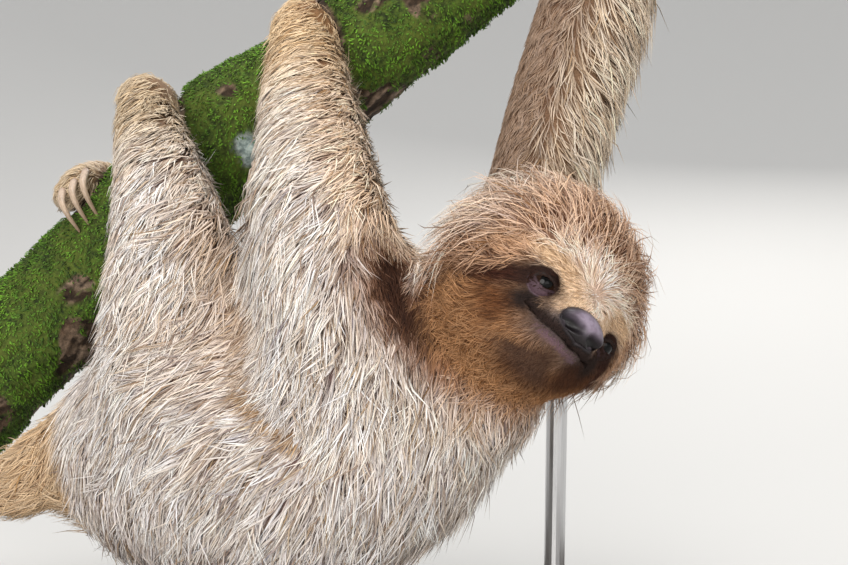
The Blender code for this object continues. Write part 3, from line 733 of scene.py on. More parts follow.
def noise_on(tree, place, scale, detail=2.0, roughness=0.5):
    return add(tree, "TexNoise", {"Vector": place, "Scale": scale, "Detail": detail,
                                  "Roughness": roughness}).outputs["Fac"]


def cells_on(tree, place, scale):
    """How far each place is from the border of its cell."""
    return add(tree, "TexVoronoi", {"Vector": place, "Scale": scale},
               feature="DISTANCE_TO_EDGE").outputs["Distance"]


def feed(tree, shader, colour, roughness=None, bump=None):
    """Joins a finish's colour, roughness and bump (height, strength, depth) to its shader."""
    tree.links.new(colour, shader.inputs["Base Color"])
    if roughness is not None:
        tree.links.new(roughness, shader.inputs["Roughness"])
    if bump is not None:
        height, strength, depth = bump
        bumped = add(tree, "Bump", {"Height": height, "Strength": strength, "Distance": depth})
        tree.links.new(bumped.outputs[0], shader.inputs["Normal"])


def set_attribute(mesh, name, kind, values):
    """Writes a value, a vector or a colour for each point of the mesh."""
    key = {"FLOAT": "value", "FLOAT_VECTOR": "vector", "FLOAT_COLOR": "color"}[kind]
    if kind == "FLOAT_COLOR":
        values = np.hstack([values, np.ones((len(values), 1))])
    flat = np.ascontiguousarray(values, np.float32).ravel()
    mesh.attributes.new(name, kind, "POINT").data.foreach_set(key, flat)


set_attribute(hide_mesh, "tint", "FLOAT_COLOR", hide_tint)
set_attribute(hide_mesh, "bare", "FLOAT", bare_skin)

hide = new_object("hide", hide_mesh)
hide_mesh.shade_smooth()
hide_finish, tree, shader = new_material("hide_skin", 0.6, Specular_IOR_Level=0.22)
place = add(tree, "TexCoord").outputs["Object"]
wrinkles = cells_on(tree, place, 900.0)
nap = noise_on(tree, place, 1500.0, 4.0, 0.7)
bare = attribute(tree, "bare", "Fac")
tint = mixed(tree, 1.0, attribute(tree, "tint"), stretched(tree, 0.3, 0.7, nap, 0.55, 1.35), "MULTIPLY")
feed(tree, shader, tint, stretched(tree, 0.0, 1.0, bare, 0.85, 0.48),
     (mixed(tree, bare, nap, wrinkles), 0.5, 0.0004))
hide_mesh.materials.append(hide_finish)
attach(hide, "root")
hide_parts(*FLESH)

# ---------------------------------------------------------------------------------------------
# Coat: long, thin tapering locks rooted in the hide. Each follows the lie of the hair over the
# form, its tip drawn to its neighbours' tips as real fur clots, with a few strays left free.
RINGS_LONG, RINGS_SHORT = 3, 2
LOCKS_AT_MOST = {RINGS_LONG: 11500, RINGS_SHORT: 17500}
LOCK_PROFILE = {RINGS_LONG: (0.60, 1.0, 0.72), RINGS_SHORT: (0.72, 1.0)}
# The roots' dark colour is underfur, and also painted shade between the locks.
ROOT_FADE = 0.6             # below 1 keeps the dark roots short
BAKE_PATCH = 0.003
STRAYS, STRAY_SWAY = 0.05, 0.35
BUNCH = 9                   # locks that clot into one point
FORM_SHADE = 0.55           # how far a lock is shaded with the form under it
LOCK_FLATNESS = 0.55
ROOT_SUNK = 0.0012
OWN_LENGTHS, BUNCH_LENGTHS = (0.65, 1.25), (0.85, 1.15)
OWN_STANDS, BUNCH_STANDS = (0.55, 1.0), (0.55, 1.15)
CLOT_RANGE, WIDTH_RANGE = (0.5, 1.2), (0.7, 1.3)
SHADE_FADE, WARM_TINT = (1.0, 1.15, 1.30), (0.6, 0.0, -1.0)     # shade turns a lock warmer


class Ground:
    """A surface that hair or moss grows on, with the look, lie and bareness at each of its points."""

    def __init__(self, mesh, look, lay, bare):
        self.mesh, self.look, self.lay, self.bare = mesh, look, lay, bare
        self.places, self.normals = coords(mesh), vertex_normals(mesh)
        corners = [list(polygon.vertices) for polygon in mesh.polygons]
        self.tree = BVHTree.FromPolygons([Vector(p) for p in self.places], corners)
        self.corner = np.array([face[0] for face in corners])
        self.face_lay = lay[self.corner]


def patch_of(mesh, wanted):
    """The chosen faces alone, unwrapped, and the vertex of the whole mesh behind each of theirs."""
    part = mesh.copy()
    numbers = np.arange(len(part.vertices), dtype=np.int32)
    part.attributes.new("source", "INT", "POINT").data.foreach_set("value", numbers)
    bm = bmesh.new()
    bm.from_mesh(part)
    bpy.data.meshes.remove(part)
    bmesh.ops.delete(bm, geom=[f for f, keep in zip(list(bm.faces), wanted) if not keep], context="FACES")
    patch = mesh_of(bm, "patch")
    holder = new_object("patch", patch)
    bpy.ops.object.select_all(action="DESELECT")
    holder.select_set(True)
    bpy.context.view_layer.objects.active = holder
    patch.uv_layers.new(name="unwrap")
    bpy.ops.object.mode_set(mode="EDIT")
    bpy.ops.mesh.select_all(action="SELECT")
    bpy.ops.uv.smart_project(angle_limit=math.radians(70), island_margin=0.008)
    bpy.ops.object.mode_set(mode="OBJECT")
    patch.calc_loop_triangles()
    source = read(patch.attributes["source"].data, "value")
    unwrap = read(patch.uv_layers["unwrap"].data, "uv", 2, np.float32)
    corners = read(patch.loop_triangles, "loops", 3)
    owner = read(patch.loops, "vertex_index")
    bpy.data.objects.remove(holder)
    return source[owner[corners]], unwrap[corners].astype(float)


def scatter(growth, count, rng):
    """Even random roots, each as a triangle, picked by its growth, and three corner weights."""
    heap = np.cumsum(growth)
    picks = np.searchsorted(heap, (np.arange(count) + rng.random(count)) / count * heap[-1])
    r, s = np.sqrt(rng.random(count)), rng.random(count)
    return np.minimum(picks, len(growth) - 1), np.stack([1 - r, r * (1 - s), r * s], axis=1)


def trace(tree, lays, roots, normals, heading, length, stand, steps, sway, curl):
    """Walks each lock over the surface, rising off it, and returns its places and normals."""
    walker = roots
    line, ups = [roots - normals * ROOT_SUNK], [normals]
    for step in range(1, steps + 1):
        found = [tree.find_nearest(p) for p in walker + heading * (length / steps)[:, None]]
        walker = np.array([hit[0] for hit in found])
        ups.append(np.array([hit[1] for hit in found]))
        field = lays[[hit[2] for hit in found]]
        turned = field + np.cross(ups[-1], field) * sway[:, None]
        heading = along_hide(along_hide(heading, ups[-1]) * 0.55 + unit(turned) * 0.45, ups[-1])
        heading = unit(heading + np.cross(ups[-1], heading) * (curl / steps)[:, None])
        line.append(walker + ups[-1] * (stand * (step / steps) ** 0.7)[:, None])
    return np.array(line), np.array(ups)


def locks_mesh(name, line, ups, width, rings, shade, grain, bake):
    """Joins tapering three-sided locks into one mesh, closed at the root and the tip."""
    count, corners = line.shape[1], 3 * rings + 1
    places, facing = np.empty((count, corners, 3)), np.empty((count, corners, 3))
    for ring in range(rings):
        along = unit(line[ring + 1] - line[ring])
        wide = unit(np.cross(ups[ring], along))
        high = np.cross(along, wide)
        for k in range(3):
            angle = math.radians(90 + 120 * k)
            reach = LOCK_PROFILE[rings][ring] * width / 2
            places[:, ring * 3 + k] = (line[ring] + wide * (reach * math.cos(angle))[:, None]
                                       + high * (reach * LOCK_FLATNESS * math.sin(angle))[:, None])
            outward = wide * math.cos(angle) + high * math.sin(angle)
            facing[:, ring * 3 + k] = outward * (1 - FORM_SHADE) + ups[ring] * FORM_SHADE
    places[:, -1], facing[:, -1] = line[rings], ups[rings]
    quads = [(r * 3 + k, r * 3 + (k + 1) % 3, r * 3 + 3 + (k + 1) % 3, r * 3 + 3 + k)
             for r in range(rings - 1) for k in range(3)]
    tips = [((rings - 1) * 3 + k, (rings - 1) * 3 + (k + 1) % 3, corners - 1) for k in range(3)] + [(2, 1, 0)]
    one = np.array([i for face in quads + tips for i in face])
    sizes = np.array([4] * len(quads) + [3] * len(tips))
    loops = (one[None, :] + np.arange(count)[:, None] * corners).ravel()
    mesh = bpy.data.meshes.new(name)
    mesh.vertices.add(count * corners)
    mesh.loops.add(len(loops))
    mesh.polygons.add(count * len(sizes))
    mesh.vertices.foreach_set("co", places.ravel())
    mesh.loops.foreach_set("vertex_index", loops.astype(np.int32))
    starts = np.cumsum(np.tile(sizes, count)) - np.tile(sizes, count)
    mesh.polygons.foreach_set("loop_start", starts.astype(np.int32))
    along_lock = np.append(np.repeat(np.arange(rings), 3), rings) / rings
    around = np.append(np.tile([0.0, 1.0, -1.0], rings), 0.0)
    colour = shade[0][:, None, :] + (shade[1] - shade[0])[:, None, :] * along_lock[None, :, None] ** ROOT_FADE
    fine = np.stack(np.broadcast_arrays(around[None, :] + grain[:, None] * 7.0, along_lock[None, :],
                                        grain[:, None]), axis=2)
    spot = bake[:, None, :] + np.stack([around * BAKE_PATCH * 0.4, (along_lock - 0.5) * BAKE_PATCH * 0.9],
                                       axis=1)[None]
    set_attribute(mesh, "tint", "FLOAT_COLOR", colour.reshape(-1, 3))
    set_attribute(mesh, "grain", "FLOAT_VECTOR", fine.reshape(-1, 3))
    spots = np.clip(spot.reshape(-1, 2), 0, 1)[loops].astype(np.float32)
    mesh.uv_layers.new(name="OFBake").data.foreach_set("uv", spots.ravel())
    mesh.update(calc_edges=True)
    mesh.shade_smooth()
    mesh.normals_split_custom_set_from_vertices(unit(facing.reshape(-1, 3)))
    return mesh


def grow(name, ground, wanted, rings, cover, clot, ruffle, shadow, finish, slot, seed):
    """One coat piece over the wanted faces. Laid flat, its locks would cover them several times over."""
    rng = np.random.default_rng(seed)
    triangles, unwrap = patch_of(ground.mesh, wanted)
    density = (1 - ground.bare) / (ground.look[:, 6] * ground.look[:, 8])
    a, b, c = (ground.places[triangles[:, i]] for i in range(3))
    area = np.linalg.norm(np.cross(b - a, c - a), axis=1) / 2
    growth = area * density[triangles].mean(1)
    count = min(LOCKS_AT_MOST[rings], int(growth.sum() * cover))
    picks, blend = scatter(growth, count, rng)
    own = triangles[picks]

    def at_roots(values):
        return (values[own] * blend[:, :, None]).sum(1)

    roots, normals, looks = at_roots(ground.places), unit(at_roots(ground.normals)), at_roots(ground.look)
    leaders = rng.permutation(count)[:max(1, count // BUNCH)]
    bunch = KDTree(len(leaders))
    for i, leader in enumerate(leaders):
        bunch.insert(roots[leader], i)
    bunch.balance()
    leader = leaders[[bunch.find(p)[1] for p in roots]]

    stray = rng.random(count) < STRAYS
    sway = rng.normal(0, ruffle, count)[leader] + rng.normal(0, ruffle * 0.6, count)
    sway = sway + stray * rng.normal(0, STRAY_SWAY, count)
    field = along_hide(at_roots(ground.lay), normals)
    heading = along_hide(field + np.cross(normals, field) * sway[:, None], normals)
    length = looks[:, 6] * rng.uniform(*OWN_LENGTHS, count) * rng.uniform(*BUNCH_LENGTHS, count)[leader]
    hanging = 1 + 0.7 * ramp(-normals[:, 2], -0.1, 0.9) * (looks[:, 6] > 0.020)
    lift = rng.uniform(*OWN_STANDS, count) * rng.uniform(*BUNCH_STANDS, count)[leader]
    stand = looks[:, 7] * lift * (1 + 0.4 * stray) * hanging
    line, ups = trace(ground.tree, ground.face_lay, roots, normals, heading, length, stand, rings, sway,
                      rng.normal(0, ruffle * 2.5, count))

    pull = clot * rng.uniform(*CLOT_RANGE, count) * ~stray
    for step in range(1, rings + 1):
        drawn = line[step, leader] + (roots - roots[leader]) * 0.25
        line[step] += (drawn - line[step]) * (pull * (step / rings) ** 1.4)[:, None]

    bunch_tone = rng.normal(1.0, 0.10, count)[leader]
    tone = (1.08 - shadow * rng.random(count) ** 1.7) * bunch_tone
    tone = np.clip(tone, 0.15, 1.15)[:, None] ** np.array(SHADE_FADE)
    warmth = rng.normal(0.0, 0.04, count)[:, None] * np.array(WARM_TINT)
    root_shade = looks[:, 0:3] * (0.8 + 0.4 * rng.random(count))[:, None]
    tip_shade = np.clip(looks[:, 3:6] * (tone + warmth), 0.004, 0.95)
    bake = (unwrap[picks] * blend[:, :, None]).sum(1)
    mesh = locks_mesh(name, line, ups, looks[:, 8] * rng.uniform(*WIDTH_RANGE, count), rings,
                      (root_shade, tip_shade), rng.random(count), bake)
    mesh.materials.append(finish)
    piece = new_object(name, mesh)
    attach(piece, "root")


fur_finish, tree, shader = new_material("fur", 0.70, Specular_IOR_Level=0.14)
grain = attribute(tree, "grain", "Vector")
streak_place = add(tree, "Mapping", {"Vector": grain, "Scale": (3.0, 1.2, 40.0)}).outputs[0]
streaks = noise_on(tree, streak_place, 1.0)
tint = mixed(tree, 1.0, attribute(tree, "tint"), stretched(tree, 0.25, 0.75, streaks, 0.58, 1.28), "MULTIPLY")
feed(tree, shader, tint, stretched(tree, 0.3, 0.7, streaks, 0.60, 0.80), (streaks, 0.35, 0.0002))

skin = Ground(hide_mesh, look, lay, bare_skin)
face_node = np.array(hide_node)[skin.corner]


def faces_on(*parts):
    return np.isin(face_node, parts)


trunk, trunk_x = faces_on("trunk"), along_trunk[skin.corner, 0]
short_hair = look[skin.corner, 6] < 0.0088
coat_pieces = {     # faces, rings, cover, clotting, ruffle, shadow
    "coat_trunk_rear": (trunk & (trunk_x < 0.33), RINGS_SHORT, 11.5, 0.58, 0.20, 0.84),
    "coat_trunk_middle": (trunk & (trunk_x >= 0.33) & (trunk_x < 0.64), RINGS_SHORT, 11.5, 0.58, 0.20, 0.84),
    "coat_trunk_chest": (trunk & (trunk_x >= 0.64), RINGS_SHORT, 11.5, 0.58, 0.20, 0.84),
    "coat_neck": (faces_on("neck"), RINGS_SHORT, 11.0, 0.58, 0.21, 0.84),
    "coat_left_arm": (faces_on("left_upper_arm", "left_forearm"), RINGS_SHORT, 12.4, 0.58, 0.20, 0.84),
    "coat_right_arm": (faces_on("right_upper_arm", "right_forearm"), RINGS_SHORT, 5.2, 0.50, 0.26, 0.60),
    "coat_left_leg": (faces_on("left_thigh", "left_shank"), RINGS_SHORT, 11.5, 0.58, 0.21, 0.84),
    "coat_right_leg": (faces_on("right_thigh", "right_shank"), RINGS_SHORT, 8.0, 0.58, 0.20, 0.84),
    "coat_tail": (faces_on("tail"), RINGS_LONG, 9.0, 0.45, 0.25, 0.55),
    "coat_paws": (faces_on(*PAWS), RINGS_SHORT, 5.0, 0.40, 0.25, 0.60),
    "coat_crown": (faces_on("head") & ~short_hair, RINGS_LONG, 9.0, 0.32, 0.56, 0.95),
    "coat_face": (faces_on("head") & short_hair, RINGS_SHORT, 7.0, 0.22, 0.19, 0.70),
}
for seed, (name, growing) in enumerate(coat_pieces.items(), start=40):
    grow(name, skin, *growing, fur_finish, "coat", seed)

# ---------------------------------------------------------------------------------------------
# Eyes: two dark wet glass balls, set deep under the lids. The iris is a deep brown ring round a
# wide black pupil, and hardly any white shows.
EYE_PARTS = [(0.0, (0.001, 0.001, 0.001)), (0.30, (0.001, 0.001, 0.001)), (0.36, (0.014, 0.006, 0.003)),
             (0.52, (0.020, 0.009, 0.005)), (0.60, (0.004, 0.002, 0.002)), (1.0, (0.020, 0.012, 0.012))]

eye_finish, tree, shader = new_material("wet_eye", 0.07, Specular_IOR_Level=0.16)
rings_of_eye = add(tree, "ValToRGB", {"Fac": attribute(tree, "gaze", "Fac")})
stops = rings_of_eye.color_ramp.elements
stops[0].position, stops[1].position = EYE_PARTS[0][0], EYE_PARTS[-1][0]
for place, _ in EYE_PARTS[1:-1]:
    stops.new(place)
for stop, (_, colour) in zip(stops, EYE_PARTS):
    stop.color = (*colour, 1.0)
fibres = noise_on(tree, attribute(tree, "iris_fibre", "Vector"), 3.0)
tint = mixed(tree, 1.0, rings_of_eye.outputs[0], stretched(tree, 0.3, 0.7, fibres, 0.6, 1.5), "MULTIPLY")
feed(tree, shader, tint)

for node, side in EYES.items():
    gaze = Vector(looking(side, 0.05)).normalized()
    frame_of_eye = gaze.to_track_quat("Z", "Y").to_matrix().to_4x4()
    bm = bmesh.new()
    bmesh.ops.create_uvsphere(bm, u_segments=48, v_segments=32, radius=EYE_BALL)
    for v in bm.verts:      # the clear front stands a little proud of the ball
        v.co *= 1 + 0.05 * max(0.0, v.co.z / EYE_BALL - 0.80) / 0.20
    off_gaze = np.array([v.co.angle(Vector((0, 0, 1))) / math.pi for v in bm.verts])
    around = np.array([math.atan2(v.co.y, v.co.x) for v in bm.verts])
    bmesh.ops.transform(bm, matrix=Matrix.Translation(middle(node)) @ frame_of_eye, verts=bm.verts)
    ball_mesh = mesh_of(bm, node + "_ball")
    set_attribute(ball_mesh, "gaze", "FLOAT", off_gaze * 2)
    set_attribute(ball_mesh, "iris_fibre", "FLOAT_VECTOR",
                  np.stack([np.cos(around) * 5, np.sin(around) * 5, off_gaze * 2], axis=1))
    ball_mesh.shade_smooth()
    ball_mesh.materials.append(eye_finish)
    ball = new_object(node + "_ball", ball_mesh)
    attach(ball, "root")
    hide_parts(node)

# ---------------------------------------------------------------------------------------------
# Nose: a blunt damp pad of fine-grained skin, violet grey on top and black below, its black
# deepened as painted shade on the side facing down and round its rim; two round nostrils low at its
# sides, painted black inside as shade, and a shallow groove down its middle.
NOSE_SIZE = Vector((0.0104, 0.0066, 0.0068))    # half sizes across, forward and up
NOSTRIL_OUT, NOSTRIL_DOWN, NOSTRIL_SIZE, NOSTRIL_DEPTH = 0.57, 0.34, 0.37, 0.0046
NOSTRIL_RIM, RIM_WIDTH, RIM_RISE = 0.36, 0.14, 0.0005
GROOVE_WIDTH, GROOVE_DEPTH = 0.10, 0.0006
# The under colour is the pad's black underside and its painted shade; the hole colour is painted shade inside
# the nostrils.
NOSE_TOP, NOSE_BLACK_AND_SHADE, NOSTRIL_SHADE_BLACK = (0.250, 0.205, 0.262), (0.008, 0.006, 0.006), (0.004, 0.003, 0.003)
NOSE_BLOTCH = (0.145, 0.112, 0.148)

bm = bmesh.new()
bmesh.ops.create_icosphere(bm, subdivisions=5, radius=1.0)
dark, nostril_shade = [], []
for v in bm.verts:
    x, y, z = v.co
    out, down = abs(x) - NOSTRIL_OUT, z + NOSTRIL_DOWN
    pit = math.exp(-(math.hypot(out * 0.8, down) / NOSTRIL_SIZE) ** 4) * (y > 0)
    rim = math.exp(-((math.hypot(out, down) - NOSTRIL_RIM) / RIM_WIDTH) ** 2) * (y > 0)
    groove = math.exp(-(x / GROOVE_WIDTH) ** 2) * max(0.0, 0.35 - z) * (y > 0)
    squared = 1 + 0.10 * (1 - abs(z)) * min(1.0, abs(x) * 1.6)
    v.co = Vector((x * NOSE_SIZE.x * squared, y * NOSE_SIZE.y, z * NOSE_SIZE.z))
    v.co.y += -NOSTRIL_DEPTH * pit + RIM_RISE * rim - GROOVE_DEPTH * groove
    # The nostril pit is painted black, as shade.
    nostril_shade.append(pit)
    # Black below, with painted shade on the side that faces down in the world and round the rim away from the
    # front.
    low = 1 / (1 + math.exp(8 * min(z + 0.24, x * HEAD_AXES[0, 2] + z * HEAD_AXES[2, 2] + 0.30)))
    dark.append(max(low, 0.92 / (1 + math.exp(10 * (y - 0.62)))))
head_turn = Matrix(HEAD_AXES.tolist()).transposed().to_4x4()
bmesh.ops.transform(bm, matrix=Matrix.Translation(middle("nose")) @ head_turn, verts=bm.verts)
nose_mesh = mesh_of(bm, "nose_pad")
set_attribute(nose_mesh, "nostril_shade", "FLOAT", np.array(nostril_shade))
set_attribute(nose_mesh, "under", "FLOAT", np.array(dark))
nose_mesh.shade_smooth()
nose_pad = new_object("nose_pad", nose_mesh)

nose_finish, tree, shader = new_material("damp_nose", 0.35, Specular_IOR_Level=0.24)
place = add(tree, "TexCoord").outputs["Object"]
mottle = noise_on(tree, place, 300.0)
tint = mixed(tree, stretched(tree, 0.45, 0.70, mottle), (*NOSE_TOP, 1), (*NOSE_BLOTCH, 1))
tint = mixed(tree, attribute(tree, "under", "Fac"), tint, (*NOSE_BLACK_AND_SHADE, 1))
tint = mixed(tree, attribute(tree, "nostril_shade", "Fac"), tint, (*NOSTRIL_SHADE_BLACK, 1))
feed(tree, shader, tint, stretched(tree, 0.3, 0.7, mottle, 0.28, 0.42),
     (cells_on(tree, place, 1600.0), 0.35, 0.0003))
nose_mesh.materials.append(nose_finish)
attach(nose_pad, "root")
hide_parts("nose")

# ---------------------------------------------------------------------------------------------
# Claws: three long hooks of solid horn on each paw, pinkish brown where they leave the fur,
# cream along the curve, with fine growth lines and a stained, polished tip.
HORN = ((0.23, 0.135, 0.100), (0.52, 0.400, 0.310), (0.46, 0.345, 0.250), (0.20, 0.130, 0.080))
HORN_STAIN = (0.14, 0.090, 0.055)

claw_finish, tree, shader = new_material("claw_horn", 0.40, Specular_IOR_Level=0.45)
lines = noise_on(tree, attribute(tree, "growth", "Vector"), 1.0, 3.0)
stain = noise_on(tree, add(tree, "TexCoord").outputs["Object"], 160.0, 4.0)
horn = add(tree, "ValToRGB", {"Fac": attribute(tree, "reach", "Fac")})
for stop in (0.35, 0.80):
    horn.color_ramp.elements.new(stop)
for stop, colour in zip(horn.color_ramp.elements, HORN):
    stop.color = (*colour, 1.0)
tint = mixed(tree, 1.0, horn.outputs[0], stretched(tree, 0.3, 0.7, lines, 0.72, 1.15), "MULTIPLY")
tint = mixed(tree, stretched(tree, 0.56, 0.74, stain, 0.0, 0.55), tint, (*HORN_STAIN, 1))
feed(tree, shader, tint, stretched(tree, 0.3, 0.7, lines, 0.32, 0.46), (lines, 0.25, 0.0004))

for node, paw in CLAWS.items():
    bm = node_bmesh(node)
    bmesh.ops.recalc_face_normals(bm, faces=bm.faces)
    horn_mesh = with_modifier(mesh_of(bm, node), "SUBSURF", levels=2, render_levels=2)
    places = coords(horn_mesh)
    from_paw = distances(places, middle(paw))
    reach = (from_paw - from_paw.min()) / np.ptp(from_paw)
    centred = places - places.mean(0)
    turned = centred @ np.linalg.svd(centred, full_matrices=False)[2].T
    set_attribute(horn_mesh, "reach", "FLOAT", reach)
    set_attribute(horn_mesh, "growth", "FLOAT_VECTOR",
                  np.stack([reach * 3.0, turned[:, 1] * 1500, turned[:, 2] * 1500], axis=1))
    horn_mesh.shade_smooth()
    horn_mesh.materials.clear()
    horn_mesh.materials.append(claw_finish)
    piece = new_object(node + "_horn", horn_mesh)
    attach(piece, "root")
    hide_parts(node)

# ---------------------------------------------------------------------------------------------
# Branch: a cut length of living wood under a pelt of moss. Bark shows in brown, cracked patches
# between the green cushions, with a crust of blue-grey lichen, and its sawn ends show the rings.
BRANCH_GRAIN = 0.0028
MOSS_COVER = 0.8
RING_PITCH = 2600.0     # the sawn ends' rings, in radians for each metre out from the heart
BARK_RELIEF, MOSS_RELIEF = 0.0011, 0.0034
MOSS_DARK, MOSS_BRIGHT = (0.007, 0.017, 0.002), (0.130, 0.285, 0.018)
LICHEN_SIZE, LICHEN_PLACE, LICHEN_DROP = 0.011, 0.49, 0.014     # it sits between the near limbs

branch_mesh = with_modifier(mesh_of(node_bmesh("perch_branch"), "branch"), "REMESH", mode="VOXEL",
                            voxel_size=BRANCH_GRAIN)
branch_pairs = edge_pairs(branch_mesh)
branch_places = spread(coords(branch_mesh), branch_pairs, 5)
set_coords(branch_mesh, branch_places)
branch_normals = vertex_normals(branch_mesh)
heart = branch_places.mean(0)
grain_axis = np.linalg.svd(branch_places - heart, full_matrices=False)[2][0]
grain_axis *= np.sign(grain_axis[2])
along_branch = (branch_places - heart) @ grain_axis
bend = [np.polyfit(along_branch, branch_places[:, axis], 4) for axis in range(3)]
branch_line = np.stack([np.polyval(fit, along_branch) for fit in bend], axis=1)
from_heart = np.linalg.norm(branch_places - branch_line, axis=1)
end_face = ramp(np.abs(branch_normals @ grain_axis), 0.55, 0.85)


def noise_field(places, scale, octaves, seed):
    shift = Vector((seed * 7.3, seed * 3.1, seed * 5.7))
    return np.array([noise.fractal(Vector(p) * scale + shift, 1.0, 2.0, octaves) for p in places])


flattened = branch_places - 0.72 * along_branch[:, None] * grain_axis
bark_height = 1 - 2 * np.abs(noise_field(flattened, 130.0, 3, 1))
patches = noise_field(branch_places, 24.0, 2, 2)
cushions = noise_field(branch_places, 110.0, 3, 3)
room_for_moss = ramp(gaps(skin.tree, branch_places), 0.0015, 0.009)
front_up = branch_normals @ np.array(Vector((-0.1, -0.35, 0.75)).normalized())
moss = ramp(patches + 0.30 * front_up, -0.34, -0.02)
moss = np.maximum(moss, 0.60 * ramp(cushions, 0.05, 0.35))
moss = moss * (1 - end_face) * (0.25 + 0.75 * room_for_moss)
between_limbs = middle("left_shank").lerp(middle("left_forearm"), LICHEN_PLACE)
lichen_seat = branch_tree.find_nearest(between_limbs - Vector((0, 0, LICHEN_DROP)))[0]
lichen_gap = distances(branch_places, lichen_seat)
lichen = 1 - ramp(lichen_gap + 0.004 * cushions, LICHEN_SIZE * 0.6, LICHEN_SIZE)
moss *= 1 - lichen
rise = (BARK_RELIEF * bark_height * (1 - moss) * (1 - end_face)
        + MOSS_RELIEF * moss * (0.55 + 0.45 * cushions)) * room_for_moss
branch_places += branch_normals * rise[:, None]
set_coords(branch_mesh, branch_places)
for name, values in (("moss", moss), ("end", end_face), ("lichen", lichen), ("ring", from_heart),
                     ("crack", bark_height)):
    set_attribute(branch_mesh, name, "FLOAT", values)
branch_mesh.shade_smooth()
branch_mesh.materials.clear()

bark_finish, tree, shader = new_material("mossy_bark", 0.85, Specular_IOR_Level=0.25)
place = add(tree, "TexCoord").outputs["Object"]
fine = noise_on(tree, place, 300.0, 5.0, 0.65)
broad = noise_on(tree, place, 45.0, 3.0)
crack = attribute(tree, "crack", "Fac")
bark = mixed(tree, stretched(tree, 0.35, 0.65, broad), (0.085, 0.052, 0.032, 1), (0.230, 0.165, 0.115, 1))
bark = mixed(tree, stretched(tree, 0.30, 0.85, crack), (0.030, 0.018, 0.010, 1), bark)
bark = mixed(tree, 1.0, bark, stretched(tree, 0.32, 0.68, fine, 0.30, 1.70), "MULTIPLY")
green = mixed(tree, stretched(tree, 0.38, 0.62, fine), (0.012, 0.020, 0.004, 1), (0.070, 0.110, 0.014, 1))
green = mixed(tree, stretched(tree, 0.45, 0.70, broad, 0.0, 0.5), green, (0.110, 0.135, 0.020, 1))
crust = mixed(tree, stretched(tree, 0.40, 0.60, fine), (0.16, 0.21, 0.20, 1), (0.42, 0.50, 0.47, 1))
rings_apart = add(tree, "Math", {0: attribute(tree, "ring", "Fac"), 1: RING_PITCH}, operation="MULTIPLY")
wavered = add(tree, "Math", {0: rings_apart.outputs[0], 1: stretched(tree, 0.3, 0.7, broad, 0.0, 5.0)})
ring_wave = add(tree, "Math", {0: wavered.outputs[0]}, operation="SINE").outputs[0]
sawn = mixed(tree, stretched(tree, -1.0, 1.0, ring_wave), (0.34, 0.215, 0.115, 1), (0.50, 0.36, 0.215, 1))
tint = mixed(tree, stretched(tree, 0.35, 0.65, attribute(tree, "moss", "Fac")), bark, green)
tint = mixed(tree, attribute(tree, "lichen", "Fac"), tint, crust)
tint = mixed(tree, attribute(tree, "end", "Fac"), tint, sawn)
feed(tree, shader, tint, bump=(fine, 0.8, 0.0012))
branch_mesh.materials.append(bark_finish)
branch = new_object("branch_bark", branch_mesh)
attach(branch, "root")
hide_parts("perch_branch")

moss_finish, tree, shader = new_material("moss_leaf", 0.7, Specular_IOR_Level=0.3)
leaf = noise_on(tree, attribute(tree, "grain", "Vector"), 2.0)
tint = mixed(tree, 1.0, attribute(tree, "tint"), stretched(tree, 0.3, 0.7, leaf, 0.75, 1.25), "MULTIPLY")
feed(tree, shader, tint)

moss_look = np.tile(np.array((*MOSS_DARK, *MOSS_BRIGHT, 0.0026, 0.0026, 0.00105)), (len(branch_places), 1))
moss_look[:, 3:6] *= np.clip(0.85 + 0.75 * cushions + 0.45 * patches, 0.15, 1.8)[:, None]
moss_look[:, 6:8] *= (0.75 + 0.25 * room_for_moss)[:, None]
droop_of_moss = np.tile(np.array((0.05, -0.1, -1.0)), (len(branch_places), 1))
mossy = Ground(branch_mesh, moss_look, droop_of_moss, 1 - np.clip(moss * room_for_moss, 0.0, 1.0))
for seed, (name, facing) in enumerate((("moss_front", -1), ("moss_back", 1)), start=70):
    wanted = (mossy.normals[mossy.corner, 1] * facing > 0) & (moss[mossy.corner] > 0.25)
    grow(name, mossy, wanted, RINGS_SHORT, MOSS_COVER, 0.1, 1.3, 0.70, moss_finish, "mossy_bark", seed)

# ---------------------------------------------------------------------------------------------
# Stand: a heavy board of dark stained wood under satin lacquer, and two brushed steel rods. Each
# is let into the board, under a collar that covers its socket, and into the branch above it.


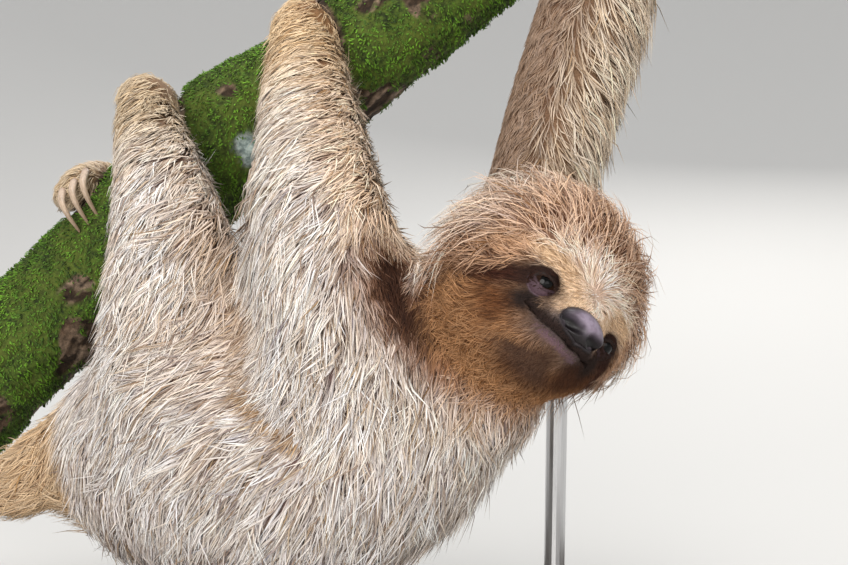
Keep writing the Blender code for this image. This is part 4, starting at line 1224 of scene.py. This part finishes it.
def grain_group():
    """Long wavering streaks: how dark, from 0 to 1, and a height for the bump."""
    group = bpy.data.node_groups.new("streaks", "ShaderNodeTree")
    for name, default in (("Across", 60.0), ("Along", 3.0)):
        socket = group.interface.new_socket(name, in_out="INPUT", socket_type="NodeSocketFloat")
        socket.default_value = default
    group.interface.new_socket("Streak", in_out="OUTPUT", socket_type="NodeSocketFloat")
    entry, leave = group.nodes.new("NodeGroupInput"), group.nodes.new("NodeGroupOutput")
    across, along = entry.outputs["Across"], entry.outputs["Along"]
    scale = add(group, "CombineXYZ", {0: along, 1: across, 2: across})
    place = add(group, "TexCoord").outputs["Object"]
    place = add(group, "Mapping", {"Vector": place, "Scale": scale.outputs[0]})
    group.links.new(noise_on(group, place.outputs[0], 1.0, 5.0, 0.6), leave.inputs["Streak"])
    return group


streak_group = grain_group()


def streaks_in(tree, across, along):
    node = tree.nodes.new("ShaderNodeGroup")
    node.node_tree = streak_group
    node.inputs["Across"].default_value = across
    node.inputs["Along"].default_value = along
    return node.outputs["Streak"]


lacquer_finish, tree, shader = new_material("dark_lacquer", 0.32, Coat_Weight=0.35, Coat_Roughness=0.12)
streak = streaks_in(tree, 180.0, 7.0)
pores = streaks_in(tree, 900.0, 40.0)
tint = mixed(tree, stretched(tree, 0.35, 0.65, streak), (0.020, 0.013, 0.009, 1), (0.062, 0.040, 0.027, 1))
tint = mixed(tree, stretched(tree, 0.58, 0.66, pores, 0.0, 0.6), tint, (0.008, 0.005, 0.004, 1))
feed(tree, shader, tint, stretched(tree, 0.3, 0.7, streak, 0.27, 0.40), (pores, 0.15, 0.0003))

steel_finish, tree, shader = new_material("brushed_rod", 0.3, Metallic=1.0)
scratch = streaks_in(tree, 60.0, 4000.0)
tint = mixed(tree, stretched(tree, 0.3, 0.7, scratch), (0.50, 0.50, 0.51, 1), (0.66, 0.66, 0.66, 1))
feed(tree, shader, tint, stretched(tree, 0.3, 0.7, scratch, 0.26, 0.40), (scratch, 0.08, 0.0002))

for name, finish in (("stand_base", lacquer_finish), ("stand_rod_left", steel_finish),
                     ("stand_rod_right", steel_finish), ("stand_collar_left", steel_finish),
                     ("stand_collar_right", steel_finish)):
    nodes[name].data.materials.clear()
    nodes[name].data.materials.append(finish)
